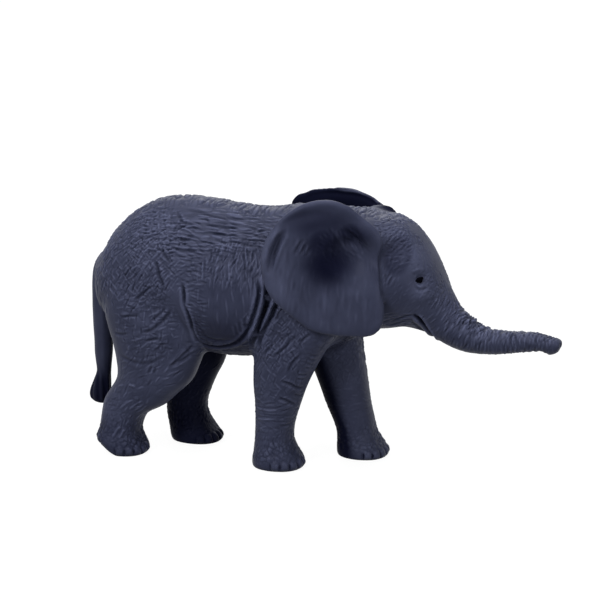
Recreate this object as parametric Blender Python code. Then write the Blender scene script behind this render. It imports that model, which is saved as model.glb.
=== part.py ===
"""Toy elephant calf, moulded in soft vinyl and glued up from nine mouldings.

The skin is lofted form by form, fused and smoothed into one surface, and then parted along the seams
of the mouldings. Each leg has a tapered key that seats in a socket of the torso, the head plugs into
the neck, and the ears and the tail sit in pockets of their own shape.

Metres, +X towards the head, +Y to the figure's left, +Z up, soles on z = 0.
"""

import math

import bmesh
import bpy
import numpy as np
from mathutils import Matrix, Vector

# Driving dimensions
BODY_LENGTH = 0.050  # one unit of every forward share, from the rump to the breast
BACK_HEIGHT = 0.050  # one unit of every height share, the croup above the soles
BODY_WIDTH = 0.0232  # across the ribs
HEAD_WIDTH = 0.0166  # across the temples
TRUNK_WIDTH = 0.0100  # at its root
TAIL_WIDTH = 0.0040
FOOT_LENGTH = 0.0100
FOOT_WIDTH = 0.0098
FOOT_SPACING = 0.0015  # between the inner sides of a left and a right foot
TRACK_WIDTH = FOOT_WIDTH + FOOT_SPACING
TOE_RADIUS = 0.00125

# Ears
EAR_LENGTH = 0.0230
EAR_HEIGHT = 0.0260
EAR_THICKNESS = 0.0013
EAR_LIFT = 0.0007  # front edge over the side of the head
EAR_SEAT = 0.0006  # how deep the middle of the ear sinks into the side of the head
EAR_HOLLOW_REACH = 0.0048
EAR_FOLD = 0.0005  # half the height of the folds near the lower edge
EAR_ROLL = 0.00045  # height of the rolled rear rim
EAR_BASE_LENGTH = 0.0095  # swelling of the head under the ear's upper front edge
EAR_BASE_WIDTH = 0.0054
EAR_BASE_HEIGHT = 0.0052
LEFT_EAR_BACK = 0.0018  # how much further back and down the left ear sits
LEFT_EAR_DOWN = 0.0027

# Seams, keys and sockets
SEAM_GAP = 0.0003
LEG_SPLIT = 0.00025  # inner limit of a leg below the belly, from the middle plane
JOINT_FACE_DEPTH = 0.0042  # mating face of a leg, from the middle plane
KEY_LENGTH = 0.0085
KEY_HEIGHT = 0.0065
KEY_DEPTH = 0.0024
KEY_ROUND = 0.0012
KEY_ROOT = 0.0012  # how deep a key is rooted in its own moulding
NECK_KEY_WIDTH = 0.0070
NECK_KEY_HEIGHT = 0.0092
NECK_KEY_DEPTH = 0.0050
EAR_KEY_LENGTH = 0.0040
EAR_KEY_HEIGHT = 0.0062
EAR_KEY_DEPTH = 0.0032
EAR_KEY_ROOT = 0.0003
OVERRUN = BODY_LENGTH + BACK_HEIGHT  # how far every cutter runs past the figure

# Fused skin
SKIN_VOXEL = 0.0005
SKIN_TRIANGLES = 11500
SMOOTH_PASSES = 5
RING_POINTS = 28
STATION_STEPS = 3  # spans between two rows of a table
TAIL_RING_POINTS = 16
SEAM_STEPS = 2
EAR_POINTS = 48
EAR_OUTLINE_STEPS = 6
BALL_STEPS = 2
KEY_ROUND_STEPS = 3

VINYL = (0.040, 0.045, 0.075, 1.0)
VINYL_ROUGHNESS = 0.45
SHARP_DEG = 42

RIGHT = -1.0
LEFT = 1.0

# Forms. Forward and height shares are of BODY_LENGTH and BACK_HEIGHT throughout.

# forward, top, bottom, half width of BODY_WIDTH, height of the widest point within the section
TORSO_SHARES = (
    (-0.904, 0.736, 0.630, 0.120, 0.50),
    (-0.888, 0.758, 0.560, 0.200, 0.50),
    (-0.860, 0.794, 0.520, 0.280, 0.50),
    (-0.820, 0.862, 0.490, 0.345, 0.50),
    (-0.740, 0.938, 0.450, 0.405, 0.48),
    (-0.640, 0.992, 0.430, 0.440, 0.45),
    (-0.520, 1.008, 0.420, 0.453, 0.43),
    (-0.400, 1.000, 0.402, 0.490, 0.42),
    (-0.280, 0.988, 0.402, 0.502, 0.42),
    (-0.180, 0.991, 0.420, 0.461, 0.43),
    (-0.080, 1.010, 0.436, 0.414, 0.45),
    (0.020, 1.014, 0.452, 0.379, 0.48),
    (0.100, 1.012, 0.480, 0.346, 0.50),
    (0.180, 1.012, 0.530, 0.290, 0.50),
)
TORSO_FULLNESS_SHARES = (1.95, 2.25)  # of the upper and the lower half of a section, 2 is an ellipse

# forward, top, bottom, half width of HEAD_WIDTH, height of the widest point within the section
HEAD_SHARES = (
    (0.080, 1.004, 0.580, 0.420, 0.50),
    (0.160, 1.013, 0.552, 0.488, 0.50),
    (0.240, 1.008, 0.550, 0.500, 0.50),
    (0.298, 0.990, 0.558, 0.488, 0.52),
    (0.346, 0.964, 0.569, 0.458, 0.53),
    (0.395, 0.921, 0.575, 0.420, 0.53),
    (0.434, 0.868, 0.572, 0.373, 0.52),
    (0.466, 0.808, 0.565, 0.325, 0.50),
    (0.494, 0.746, 0.556, 0.277, 0.50),
    (0.514, 0.698, 0.548, 0.229, 0.50),
)
HEAD_FULLNESS_SHARES = (2.5, 2.1)

# forward, height, half width and half depth of TRUNK_WIDTH
TRUNK_SHARES = (
    (0.400, 0.730, 0.470, 0.460),
    (0.452, 0.652, 0.470, 0.450),
    (0.508, 0.592, 0.420, 0.385),
    (0.584, 0.552, 0.360, 0.335),
    (0.656, 0.536, 0.290, 0.262),
    (0.730, 0.538, 0.245, 0.228),
    (0.810, 0.548, 0.215, 0.202),
    (0.870, 0.550, 0.195, 0.178),
    (0.908, 0.545, 0.190, 0.172),
    (0.932, 0.542, 0.175, 0.155),
    (0.944, 0.540, 0.120, 0.105),
)
JAW_SHARES = (
    (0.250, 0.622, 0.420, 0.270),
    (0.320, 0.608, 0.360, 0.200),
    (0.380, 0.590, 0.270, 0.145),
    (0.424, 0.566, 0.170, 0.090),
    (0.446, 0.550, 0.090, 0.045),
)

# forward, height, half width and half depth of TAIL_WIDTH
TAIL_SHARES = (
    (-0.850, 0.740, 0.300, 0.330),
    (-0.880, 0.732, 0.320, 0.360),
    (-0.898, 0.690, 0.340, 0.400),
    (-0.902, 0.600, 0.380, 0.450),
    (-0.899, 0.500, 0.390, 0.460),
    (-0.892, 0.400, 0.370, 0.440),
    (-0.890, 0.300, 0.310, 0.360),
    (-0.893, 0.260, 0.310, 0.360),
    (-0.902, 0.215, 0.370, 0.470),
    (-0.910, 0.180, 0.390, 0.530),
    (-0.914, 0.154, 0.340, 0.450),
    (-0.916, 0.144, 0.200, 0.260),
)

# height, forward, half length of FOOT_LENGTH, half width of FOOT_WIDTH, middle of TRACK_WIDTH
RIGHT_HIND_SHARES = (
    (-0.040, -0.762, 0.360, 0.350, 0.560),
    (0.000, -0.762, 0.500, 0.480, 0.560),
    (0.028, -0.764, 0.530, 0.505, 0.560),
    (0.064, -0.770, 0.465, 0.460, 0.550),
    (0.100, -0.772, 0.420, 0.430, 0.530),
    (0.160, -0.758, 0.450, 0.425, 0.510),
    (0.206, -0.718, 0.600, 0.440, 0.500),
    (0.244, -0.682, 0.665, 0.450, 0.500),
    (0.300, -0.636, 0.745, 0.470, 0.502),
    (0.360, -0.622, 0.825, 0.480, 0.502),
    (0.440, -0.616, 0.925, 0.510, 0.496),
)
LEFT_HIND_SHARES = (
    (-0.040, -0.541, 0.360, 0.330, 0.460),
    (0.000, -0.541, 0.510, 0.455, 0.460),
    (0.028, -0.545, 0.525, 0.475, 0.465),
    (0.060, -0.561, 0.470, 0.440, 0.470),
    (0.100, -0.582, 0.415, 0.415, 0.480),
    (0.150, -0.588, 0.400, 0.410, 0.490),
    (0.200, -0.586, 0.470, 0.425, 0.495),
    (0.260, -0.580, 0.565, 0.440, 0.500),
    (0.320, -0.570, 0.670, 0.460, 0.502),
    (0.400, -0.573, 0.805, 0.490, 0.500),
    (0.480, -0.592, 0.930, 0.520, 0.486),
)
THIGH_SHARES = (
    (0.540, -0.628, 1.020, 0.550, 0.470),
    (0.640, -0.640, 1.000, 0.540, 0.434),
    (0.740, -0.652, 0.860, 0.450, 0.390),
    (0.820, -0.660, 0.620, 0.310, 0.354),
)
RIGHT_FORE_SHARES = (
    (-0.040, -0.131, 0.360, 0.350, 0.500),
    (0.000, -0.131, 0.495, 0.490, 0.500),
    (0.028, -0.131, 0.510, 0.510, 0.500),
    (0.068, -0.140, 0.430, 0.450, 0.500),
    (0.108, -0.148, 0.370, 0.410, 0.500),
    (0.160, -0.146, 0.372, 0.405, 0.500),
    (0.206, -0.140, 0.400, 0.420, 0.500),
    (0.268, -0.131, 0.455, 0.440, 0.500),
    (0.324, -0.124, 0.520, 0.460, 0.500),
    (0.400, -0.105, 0.605, 0.490, 0.496),
    (0.480, -0.080, 0.700, 0.520, 0.470),
)
LEFT_FORE_SHARES = (
    (-0.040, 0.134, 0.360, 0.350, 0.555),
    (0.000, 0.134, 0.500, 0.490, 0.555),
    (0.028, 0.134, 0.510, 0.510, 0.550),
    (0.064, 0.123, 0.450, 0.455, 0.540),
    (0.100, 0.109, 0.390, 0.415, 0.530),
    (0.146, 0.096, 0.405, 0.410, 0.520),
    (0.206, 0.076, 0.440, 0.420, 0.510),
    (0.268, 0.061, 0.470, 0.440, 0.505),
    (0.324, 0.046, 0.505, 0.460, 0.500),
    (0.400, 0.026, 0.545, 0.490, 0.496),
    (0.480, 0.008, 0.600, 0.520, 0.470),
)
SHOULDER_SHARES = (
    (0.560, -0.030, 0.740, 0.520, 0.444),
    (0.640, -0.030, 0.740, 0.500, 0.430),
    (0.740, -0.024, 0.640, 0.430, 0.390),
    (0.820, -0.020, 0.440, 0.310, 0.354),
)
LEG_FULLNESS_SHARE = 2.3
LEG_ROWS = {
    "right_hind_leg": (RIGHT, RIGHT_HIND_SHARES + THIGH_SHARES),
    "left_hind_leg": (LEFT, LEFT_HIND_SHARES + THIGH_SHARES),
    "right_fore_leg": (RIGHT, RIGHT_FORE_SHARES + SHOULDER_SHARES),
    "left_fore_leg": (LEFT, LEFT_FORE_SHARES + SHOULDER_SHARES),
}
TOE_ANGLES_DEG = (-68, -34, 0, 34, 68)
TOE_REACH_SHARE = 0.405

# forward, height: the arched seam round a leg, from below the heel over the top to below the toes
HIND_SEAM_SHARES = (
    (-0.930, -0.060), (-0.930, 0.280), (-0.872, 0.400), (-0.852, 0.540), (-0.820, 0.640), (-0.760, 0.710),
    (-0.680, 0.740), (-0.600, 0.740), (-0.530, 0.710), (-0.480, 0.650), (-0.446, 0.570), (-0.424, 0.480),
    (-0.410, 0.392), (-0.370, 0.280), (-0.370, -0.060),
)
FORE_SEAM_SHARES = (
    (-0.290, -0.060), (-0.290, 0.280), (-0.252, 0.392), (-0.232, 0.480), (-0.212, 0.580), (-0.184, 0.660),
    (-0.130, 0.726), (-0.050, 0.756), (0.030, 0.740), (0.092, 0.684), (0.124, 0.600), (0.138, 0.510),
    (0.148, 0.392), (0.180, 0.280), (0.290, 0.100), (0.290, -0.060),
)
SLANT_SHARES = (0.380, 0.524)  # heights between which a leg's inner limit slants out to its mating face
HIND_KEY_SHARES = (-0.640, 0.590)
FORE_KEY_SHARES = (-0.040, 0.590)
KEY_TAPER_SHARE = 0.82
NECK_TOP_SHARES = (0.020, 1.040)
NECK_THROAT_SHARES = (0.190, 0.480)
NECK_KEY_ALONG_SHARE = 0.30

# forward and height round the ear, of EAR_LENGTH and EAR_HEIGHT, from its hub
EAR_OUTLINE_SHARES = (
    (-0.052, 0.323), (0.039, 0.262), (0.148, 0.185), (0.226, 0.104), (0.235, 0.031),
    (0.191, -0.046), (0.205, -0.150), (0.222, -0.292), (0.256, -0.419), (0.244, -0.545),
    (0.150, -0.622), (-0.018, -0.638), (-0.196, -0.619), (-0.348, -0.592), (-0.478, -0.515),
    (-0.596, -0.419), (-0.687, -0.319), (-0.739, -0.196), (-0.748, -0.058), (-0.713, 0.069),
    (-0.639, 0.169), (-0.522, 0.262), (-0.370, 0.335), (-0.196, 0.362),
)
# reach from the hub to the edge, height over the middle surface of EAR_THICKNESS
EAR_FACE_SHARES = (
    (0.14, 0.50), (0.32, 0.50), (0.50, 0.50), (0.66, 0.50),
    (0.79, 0.50), (0.89, 0.48), (0.955, 0.40), (0.99, 0.22),
)
EAR_HUB_SHARES = (0.190, 0.890)
EAR_REAR_SHARE = 0.526  # of BODY_WIDTH, how far out the flare brings the rear of the ear
EAR_TUCK_SHARE = 0.26  # slope towards the head above the height named next
EAR_TUCK_FROM_SHARE = 0.10
EAR_FOLDS = 9
EAR_ROLL_REACH_SHARE = 0.36
EAR_BASE_SHARES = (0.216, 0.926, 0.360)  # forward, height, and across of HEAD_WIDTH
EAR_BASE_TURN_DEG = 40
LEFT_EAR_STRETCH_SHARE = 1.12
LEFT_EAR_TURN_DEG = 8


def smooth_rows(rows, steps):
    """Catmull-Rom rows through the given rows, with steps spans between each two of them."""
    rows = np.asarray(rows, float)
    padded = np.vstack([2 * rows[0] - rows[1], rows, 2 * rows[-1] - rows[-2]])
    made = []
    for i in range(len(rows) - 1):
        a, b, c, d = padded[i : i + 4]
        for t in np.arange(steps) / steps:
            bend = (2 * a - 5 * b + 4 * c - d) * t**2 + (3 * b - a - 3 * c + d) * t**3
            made.append((2 * b + (c - a) * t + bend) / 2)
    made.append(rows[-1])
    return np.array(made)


def turns(count):
    """Angles once round, starting at the top."""
    return np.arange(count) * 2 * math.pi / count


def rounded(value, fullness):
    """A sine or cosine bent towards a box for fullness over 2, or towards a diamond below 2."""
    return np.sign(value) * np.abs(value) ** (2 / fullness)


def ring_across(x, top, bottom, half_width, widest_share, fullness):
    """A cross-section of the body or the head, in a plane of constant x."""
    angles = turns(RING_POINTS)
    widest = bottom + (top - bottom) * widest_share
    above = np.cos(angles) >= 0
    full = np.where(above, *fullness)
    height = np.where(above, top - widest, widest - bottom)
    across = half_width * rounded(np.sin(angles), full)
    high = widest + height * rounded(np.cos(angles), full)
    return np.stack([np.full(RING_POINTS, x), across, high], axis=1)


def ring_level(z, x, half_length, y, half_width):
    """A cross-section of a leg, in a plane of constant z."""
    angles = turns(RING_POINTS)
    forward = x + half_length * rounded(np.cos(angles), LEG_FULLNESS_SHARE)
    across = y + half_width * rounded(np.sin(angles), LEG_FULLNESS_SHARE)
    return np.stack([forward, across, np.full(RING_POINTS, z)], axis=1)


def rings_along(path, half_widths, half_depths, count):
    """Cross-sections square to a path in the plane y = 0."""
    tangents = np.gradient(path, axis=0)
    tangents /= np.linalg.norm(tangents, axis=1)[:, None]
    side = np.array([0.0, 1.0, 0.0])
    angles = turns(count)
    rings = []
    for point, tangent, wide, deep in zip(path, tangents, half_widths, half_depths):
        up = np.cross(tangent, side)
        rings.append(point + np.outer(np.sin(angles) * wide, side) + np.outer(np.cos(angles) * deep, up))
    return rings


def add_loft(bm, rings):
    """Bridges the rings into one closed body inside bm, with faces pointing out."""
    before = set(bm.faces)
    loops = []
    for ring in rings:
        points = [bm.verts.new(p) for p in ring]
        loops.append([bm.edges.new((a, b)) for a, b in zip(points, points[1:] + points[:1])])
    for first, second in zip(loops, loops[1:]):
        bmesh.ops.bridge_loops(bm, edges=first + second)
    for end in (loops[0], loops[-1]):
        bmesh.ops.contextual_create(bm, geom=end)
    made = [f for f in bm.faces if f not in before]
    bmesh.ops.recalc_face_normals(bm, faces=made)


def mesh_object(name, bm):
    """Turns a bmesh into an object of that name and frees it."""
    mesh = bpy.data.meshes.new(name)
    bm.to_mesh(mesh)
    bm.free()
    obj = bpy.data.objects.new(name, mesh)
    bpy.context.scene.collection.objects.link(obj)
    return obj


def applied(obj, name):
    """A new object of that name which holds obj's shape with its modifiers done. obj goes."""
    bpy.context.view_layer.update()
    graph = bpy.context.evaluated_depsgraph_get()
    mesh = bpy.data.meshes.new_from_object(obj.evaluated_get(graph))
    bpy.data.objects.remove(obj)
    made = bpy.data.objects.new(name, mesh)
    bpy.context.scene.collection.objects.link(made)
    return made


def copy_of(obj, name):
    """A separate object with its own copy of obj's mesh."""
    made = bpy.data.objects.new(name, obj.data.copy())
    bpy.context.scene.collection.objects.link(made)
    return made


def cut(obj, tool, operation):
    """obj with tool joined, taken away or intersected. Both make way for the result."""
    modifier = obj.modifiers.new(operation.lower(), "BOOLEAN")
    modifier.operation = operation
    modifier.object = tool
    modifier.solver = "EXACT"
    made = applied(obj, obj.name)
    bpy.data.objects.remove(tool)
    return made


def united(objects):
    """All the given bodies as one."""
    made = objects[0]
    for other in objects[1:]:
        made = cut(made, other, "UNION")
    return made


def placed(obj, matrix):
    """Moves an object's mesh, and turns its faces out again if the matrix mirrors it."""
    obj.data.transform(matrix)
    if matrix.determinant() < 0:
        obj.data.flip_normals()
    return obj


def body_rings(shares, width, fullness):
    """Cross-sections of the torso or the head from its table."""
    rings = []
    for forward, top, bottom, half, widest in smooth_rows(shares, STATION_STEPS):
        x, high, low = forward * BODY_LENGTH, top * BACK_HEIGHT, bottom * BACK_HEIGHT
        rings.append(ring_across(x, high, low, half * width, widest, fullness))
    return rings


def tube_rings(shares, width, count, gap=0):
    """Cross-sections along the trunk, the lip or the tail from its table, larger all round by a gap."""
    rows = smooth_rows(shares, STATION_STEPS)
    path = np.stack([rows[:, 0] * BODY_LENGTH, np.zeros(len(rows)), rows[:, 1] * BACK_HEIGHT], axis=1)
    for end, inner in ((0, 1), (-1, -2)):
        path[end] += (path[end] - path[inner]) / np.linalg.norm(path[end] - path[inner]) * gap
    return rings_along(path, rows[:, 2] * width + gap, rows[:, 3] * width + gap, count)


def leg_rings(name):
    """Cross-sections of a leg from below its sole to the top of its muscle inside the body."""
    side, rows = LEG_ROWS[name]
    rings = []
    for high, forward, long, wide, spread in smooth_rows(rows, STATION_STEPS):
        x, z = forward * BODY_LENGTH, high * BACK_HEIGHT
        rings.append(ring_level(z, x, long * FOOT_LENGTH, side * spread * TRACK_WIDTH, wide * FOOT_WIDTH))
    return rings


def add_toes(bm, name):
    """Five toenails as small balls round the front of a foot."""
    side, rows = LEG_ROWS[name]
    _, forward, _, _, spread = rows[2]  # where the foot is widest
    middle = Vector((forward * BODY_LENGTH, side * spread * TRACK_WIDTH, TOE_RADIUS))
    for angle in TOE_ANGLES_DEG:
        turn = math.radians(angle)
        reach = Vector((math.cos(turn) * FOOT_LENGTH, math.sin(turn) * FOOT_WIDTH, 0)) * TOE_REACH_SHARE
        spot = Matrix.Translation(middle + reach)
        bmesh.ops.create_icosphere(bm, subdivisions=BALL_STEPS, radius=TOE_RADIUS, matrix=spot)


def add_ear_base(bm, side):
    """The soft swelling of the head under the upper front edge of an ear."""
    forward, high, across = EAR_BASE_SHARES
    spot = Matrix.Translation((forward * BODY_LENGTH, side * across * HEAD_WIDTH, high * BACK_HEIGHT))
    turn = Matrix.Rotation(math.radians(EAR_BASE_TURN_DEG), 4, "Y")
    size = Matrix.Diagonal((EAR_BASE_LENGTH / 2, EAR_BASE_WIDTH / 2, EAR_BASE_HEIGHT / 2, 1))
    bmesh.ops.create_icosphere(bm, subdivisions=BALL_STEPS, radius=1, matrix=spot @ turn @ size)


def standing(skin):
    """The skin cut level at the ground, with flat soles."""
    bm = bmesh.new()
    bm.from_mesh(skin.data)
    bpy.data.objects.remove(skin)
    everything = bm.verts[:] + bm.edges[:] + bm.faces[:]
    bmesh.ops.bisect_plane(bm, geom=everything, plane_co=(0, 0, 0), plane_no=(0, 0, 1), clear_inner=True)
    bmesh.ops.holes_fill(bm, edges=[e for e in bm.edges if e.is_boundary])
    return mesh_object("skin", bm)


def fused_skin():
    """Every form of the figure but the ears and the tail, as one smooth closed surface."""
    bm = bmesh.new()
    add_loft(bm, body_rings(TORSO_SHARES, BODY_WIDTH, TORSO_FULLNESS_SHARES))
    add_loft(bm, body_rings(HEAD_SHARES, HEAD_WIDTH, HEAD_FULLNESS_SHARES))
    add_loft(bm, tube_rings(TRUNK_SHARES, TRUNK_WIDTH, RING_POINTS))
    add_loft(bm, tube_rings(JAW_SHARES, TRUNK_WIDTH, RING_POINTS))
    for name in LEG_ROWS:
        add_loft(bm, leg_rings(name))
        add_toes(bm, name)
    for side in (RIGHT, LEFT):
        add_ear_base(bm, side)
    skin = mesh_object("skin", bm)
    fuse = skin.modifiers.new("fuse", "REMESH")
    fuse.mode = "VOXEL"
    fuse.voxel_size = SKIN_VOXEL
    soften = skin.modifiers.new("soften", "SMOOTH")
    soften.iterations = SMOOTH_PASSES
    skin = applied(skin, "skin")
    thin = skin.modifiers.new("thin", "DECIMATE")
    thin.ratio = min(1.0, SKIN_TRIANGLES / (2 * len(skin.data.polygons)))
    return standing(applied(skin, "skin"))


def key(name, length, height, depth, root, gap):
    """A tapered block with round corners that reaches depth along -y from the origin, and root along +y."""
    bm = bmesh.new()
    bmesh.ops.create_cube(bm, size=1)
    upright = [e for e in bm.edges if e.verts[0].co.y * e.verts[1].co.y < 0]
    size = Vector((length + 2 * gap, depth + root + gap, height + 2 * gap))
    bmesh.ops.scale(bm, vec=size, verts=bm.verts)
    bmesh.ops.translate(bm, vec=(0, root - size.y / 2, 0), verts=bm.verts)
    bmesh.ops.bevel(
        bm, geom=upright, offset=KEY_ROUND, segments=KEY_ROUND_STEPS, affect="EDGES", profile=0.5
    )
    tip = [v for v in bm.verts if v.co.y < 0]
    bmesh.ops.scale(bm, vec=(KEY_TAPER_SHARE, 1, KEY_TAPER_SHARE), verts=tip)
    return mesh_object(name, bm)


def pushed_out(points, by):
    """An outline moved outwards by a clearance, square to the line between the neighbours of each point."""
    along = np.roll(points, -1, axis=0) - np.roll(points, 1, axis=0)
    along /= np.linalg.norm(along, axis=1)[:, None]
    out = np.stack([-along[:, 1], along[:, 0]], axis=1)
    return points + out * by


def prism(name, corners, direction):
    """A closed body between a flat outline and the same outline moved by direction."""
    bm = bmesh.new()
    face = bm.faces.new([bm.verts.new(corner) for corner in corners])
    made = bmesh.ops.extrude_face_region(bm, geom=[face])["geom"]
    bmesh.ops.translate(bm, verts=[v for v in made if isinstance(v, bmesh.types.BMVert)], vec=direction)
    bmesh.ops.recalc_face_normals(bm, faces=bm.faces[:])
    return mesh_object(name, bm)


def leg_key(name, gap):
    """The key of a leg, pointing from its mating face towards the middle plane."""
    side = LEG_ROWS[name][0]
    forward, high = HIND_KEY_SHARES if "hind" in name else FORE_KEY_SHARES
    spot = Matrix.Translation((forward * BODY_LENGTH, side * JOINT_FACE_DEPTH, high * BACK_HEIGHT))
    block = key("leg_key", KEY_LENGTH, KEY_HEIGHT, KEY_DEPTH, KEY_ROOT, gap)
    return placed(block, spot @ Matrix.Diagonal((1, side, 1, 1)))


def leg_tool(name, gap):
    """What belongs to a leg: its arch as seen from the side, outside its mating faces, and its key."""
    side = LEG_ROWS[name][0]
    shares = HIND_SEAM_SHARES if "hind" in name else FORE_SEAM_SHARES
    arch = pushed_out(smooth_rows(shares, SEAM_STEPS) * (BODY_LENGTH, BACK_HEIGHT), gap)
    tool = prism("leg_tool", [(x, -side * OVERRUN, z) for x, z in arch], (0, 2 * side * OVERRUN, 0))
    low, high = [share * BACK_HEIGHT for share in SLANT_SHARES]
    inner = [
        (LEG_SPLIT - gap, -OVERRUN),
        (LEG_SPLIT - gap, low),
        (JOINT_FACE_DEPTH - gap, high),
        (JOINT_FACE_DEPTH - gap, 2 * OVERRUN),
        (2 * OVERRUN, 2 * OVERRUN),
        (2 * OVERRUN, -OVERRUN),
    ]
    limits = prism("mating_faces", [(-2 * OVERRUN, side * y, z) for y, z in inner], (4 * OVERRUN, 0, 0))
    return cut(cut(tool, limits, "INTERSECT"), leg_key(name, gap), "UNION")


def neck_frame():
    """The place and turn of the neck seam: its own +y looks out of the torso along the neck."""
    top = Vector((NECK_TOP_SHARES[0] * BODY_LENGTH, 0, NECK_TOP_SHARES[1] * BACK_HEIGHT))
    throat = Vector((NECK_THROAT_SHARES[0] * BODY_LENGTH, 0, NECK_THROAT_SHARES[1] * BACK_HEIGHT))
    up = (top - throat).normalized()
    across = Vector((0, 1, 0))
    turn = Matrix((across, across.cross(up), up)).transposed().to_4x4()
    return Matrix.Translation(top.lerp(throat, NECK_KEY_ALONG_SHARE)) @ turn


def neck_tool(gap):
    """What belongs to the head: all that lies beyond the neck seam, and the key behind it."""
    bm = bmesh.new()
    bmesh.ops.create_cube(bm, size=2 * OVERRUN)
    bmesh.ops.translate(bm, vec=(0, OVERRUN - gap, 0), verts=bm.verts)
    beyond = mesh_object("neck_tool", bm)
    block = key("neck_key", NECK_KEY_WIDTH, NECK_KEY_HEIGHT, NECK_KEY_DEPTH, KEY_ROOT, gap)
    return placed(cut(beyond, block, "UNION"), neck_frame())


def ear_outline():
    """Evenly spread points round the ear's edge, relative to its hub."""
    points = np.array(EAR_OUTLINE_SHARES) * (EAR_LENGTH, EAR_HEIGHT)
    closed = smooth_rows(np.vstack([points, points[:1]]), EAR_OUTLINE_STEPS)
    steps = np.linalg.norm(np.diff(closed, axis=0), axis=1)
    reach = np.concatenate([[0], np.cumsum(steps)])
    even = np.arange(EAR_POINTS) / EAR_POINTS * reach[-1]
    return np.stack([np.interp(even, reach, closed[:, i]) for i in (0, 1)], axis=1)


def ear_depth(x, z, share, turn):
    """Distance of the ear's middle surface from the middle plane, at a place relative to the hub."""
    front = EAR_LENGTH * max(row[0] for row in EAR_OUTLINE_SHARES)
    flare = (BODY_WIDTH * EAR_REAR_SHARE - HEAD_WIDTH / 2) / EAR_LENGTH
    depth = HEAD_WIDTH / 2 + EAR_LIFT + (front - x) * flare
    depth -= max(z - EAR_TUCK_FROM_SHARE * EAR_HEIGHT, 0) * EAR_TUCK_SHARE
    hollow = EAR_LIFT + front * flare + EAR_SEAT
    depth -= hollow * math.exp(-(x * x + z * z) / EAR_HOLLOW_REACH**2)
    depth += EAR_FOLD * share**2 * max(-math.sin(turn), 0) * math.sin(turn * EAR_FOLDS)
    rim = max(math.cos((1 - share) / EAR_ROLL_REACH_SHARE * math.pi), 0)
    return depth + EAR_ROLL * max(-math.cos(turn), 0) * rim


def ear(name, side, gap):
    """An ear, or the pocket that it seats in if there is a gap.

    It is a folded sheet, lofted from its outer hub over the round rim to its inner hub, with a key.
    """
    outline = ear_outline()
    wall = EAR_THICKNESS + 2 * gap
    rings = []
    for share, lift in (*EAR_FACE_SHARES, (1, 0), *[(out, -up) for out, up in reversed(EAR_FACE_SHARES)]):
        ring = []
        for (x, z), (far_x, far_z) in zip(outline * share, pushed_out(outline, gap) * share):
            turn = math.atan2(z / EAR_HEIGHT, x / EAR_LENGTH)
            ring.append((far_x, ear_depth(x, z, share, turn) + lift * wall, far_z))
        rings.append(ring)
    bm = bmesh.new()
    add_loft(bm, rings)
    peg = key("ear_key", EAR_KEY_LENGTH, EAR_KEY_HEIGHT, EAR_KEY_DEPTH, EAR_KEY_ROOT, gap)
    peg = placed(peg, Matrix.Translation((0, ear_depth(0, 0, 0, 0), 0)))
    sheet = cut(mesh_object(name, bm), peg, "UNION")
    hub = Vector((EAR_HUB_SHARES[0] * BODY_LENGTH, 0, EAR_HUB_SHARES[1] * BACK_HEIGHT))
    if side == RIGHT:
        return placed(sheet, Matrix.Translation(hub) @ Matrix.Diagonal((1, RIGHT, 1, 1)))
    hub -= Vector((LEFT_EAR_BACK, 0, LEFT_EAR_DOWN))
    turn = Matrix.Rotation(math.radians(LEFT_EAR_TURN_DEG), 4, "Y")
    return placed(sheet, Matrix.Translation(hub) @ turn @ Matrix.Diagonal((LEFT_EAR_STRETCH_SHARE, 1, 1, 1)))


def tail(name, gap):
    """The tail, or the pocket that it seats in: a tube from inside the rump down to the thick tuft."""
    bm = bmesh.new()
    add_loft(bm, tube_rings(TAIL_SHARES, TAIL_WIDTH, TAIL_RING_POINTS, gap))
    return mesh_object(name, bm)


def vinyl(name):
    """Matt dark vinyl."""
    made = bpy.data.materials.new(name + "_vinyl")
    made.use_nodes = True
    shader = made.node_tree.nodes["Principled BSDF"]
    shader.inputs["Base Color"].default_value = VINYL
    shader.inputs["Roughness"].default_value = VINYL_ROUGHNESS
    shader.inputs["Metallic"].default_value = 0
    return made


def finish(objects):
    """Centres the figure over the origin, and gives each moulding its material and smooth shading."""
    points = [Vector(corner) for obj in objects for corner in obj.bound_box]
    middle = [(min(p[i] for p in points) + max(p[i] for p in points)) / 2 for i in (0, 1)]
    for obj in objects:
        obj.data.transform(Matrix.Translation((-middle[0], -middle[1], 0)))
        obj.data.materials.clear()
        obj.data.materials.append(vinyl(obj.name))
        obj.data.shade_smooth()
        obj.data.set_sharp_from_angle(angle=math.radians(SHARP_DEG))


def main():
    for obj in list(bpy.data.objects):
        bpy.data.objects.remove(obj)
    skin = fused_skin()
    ears = [ear("right_ear", RIGHT, 0), ear("left_ear", LEFT, 0)]
    ear_pockets = united([ear("ear_pockets", side, SEAM_GAP) for side in (RIGHT, LEFT)])

    legs = []
    for name in LEG_ROWS:
        leg = cut(copy_of(skin, name), leg_tool(name, 0), "INTERSECT")
        legs.append(cut(leg, copy_of(ear_pockets, "leg_relief"), "DIFFERENCE"))
    head = cut(copy_of(skin, "head"), neck_tool(0), "INTERSECT")
    head = cut(head, copy_of(ear_pockets, "head_pockets"), "DIFFERENCE")
    tools = [leg_tool(name, SEAM_GAP) for name in LEG_ROWS]
    tools += [neck_tool(SEAM_GAP), ear_pockets, tail("tail_pocket", SEAM_GAP)]
    skin.name = "torso"
    torso = cut(skin, united(tools), "DIFFERENCE")
    finish([torso, head, tail("tail", 0), *ears, *legs])


main()
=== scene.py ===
"""Looks of the toy elephant calf: one wrinkled vinyl skin, parted again into the nine mouldings.

The skin is fused from the CAD nodes, worked with folds, creases, wrinkles, toenails and trunk rings as a
sculptor works a master, and cut along the seams, so that each piece stands for its own node. Lengths are in
millimetres where nothing else is said, with x towards the head, y to the figure's left and z up. Lines and
patches are given for the right side.
"""

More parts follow.
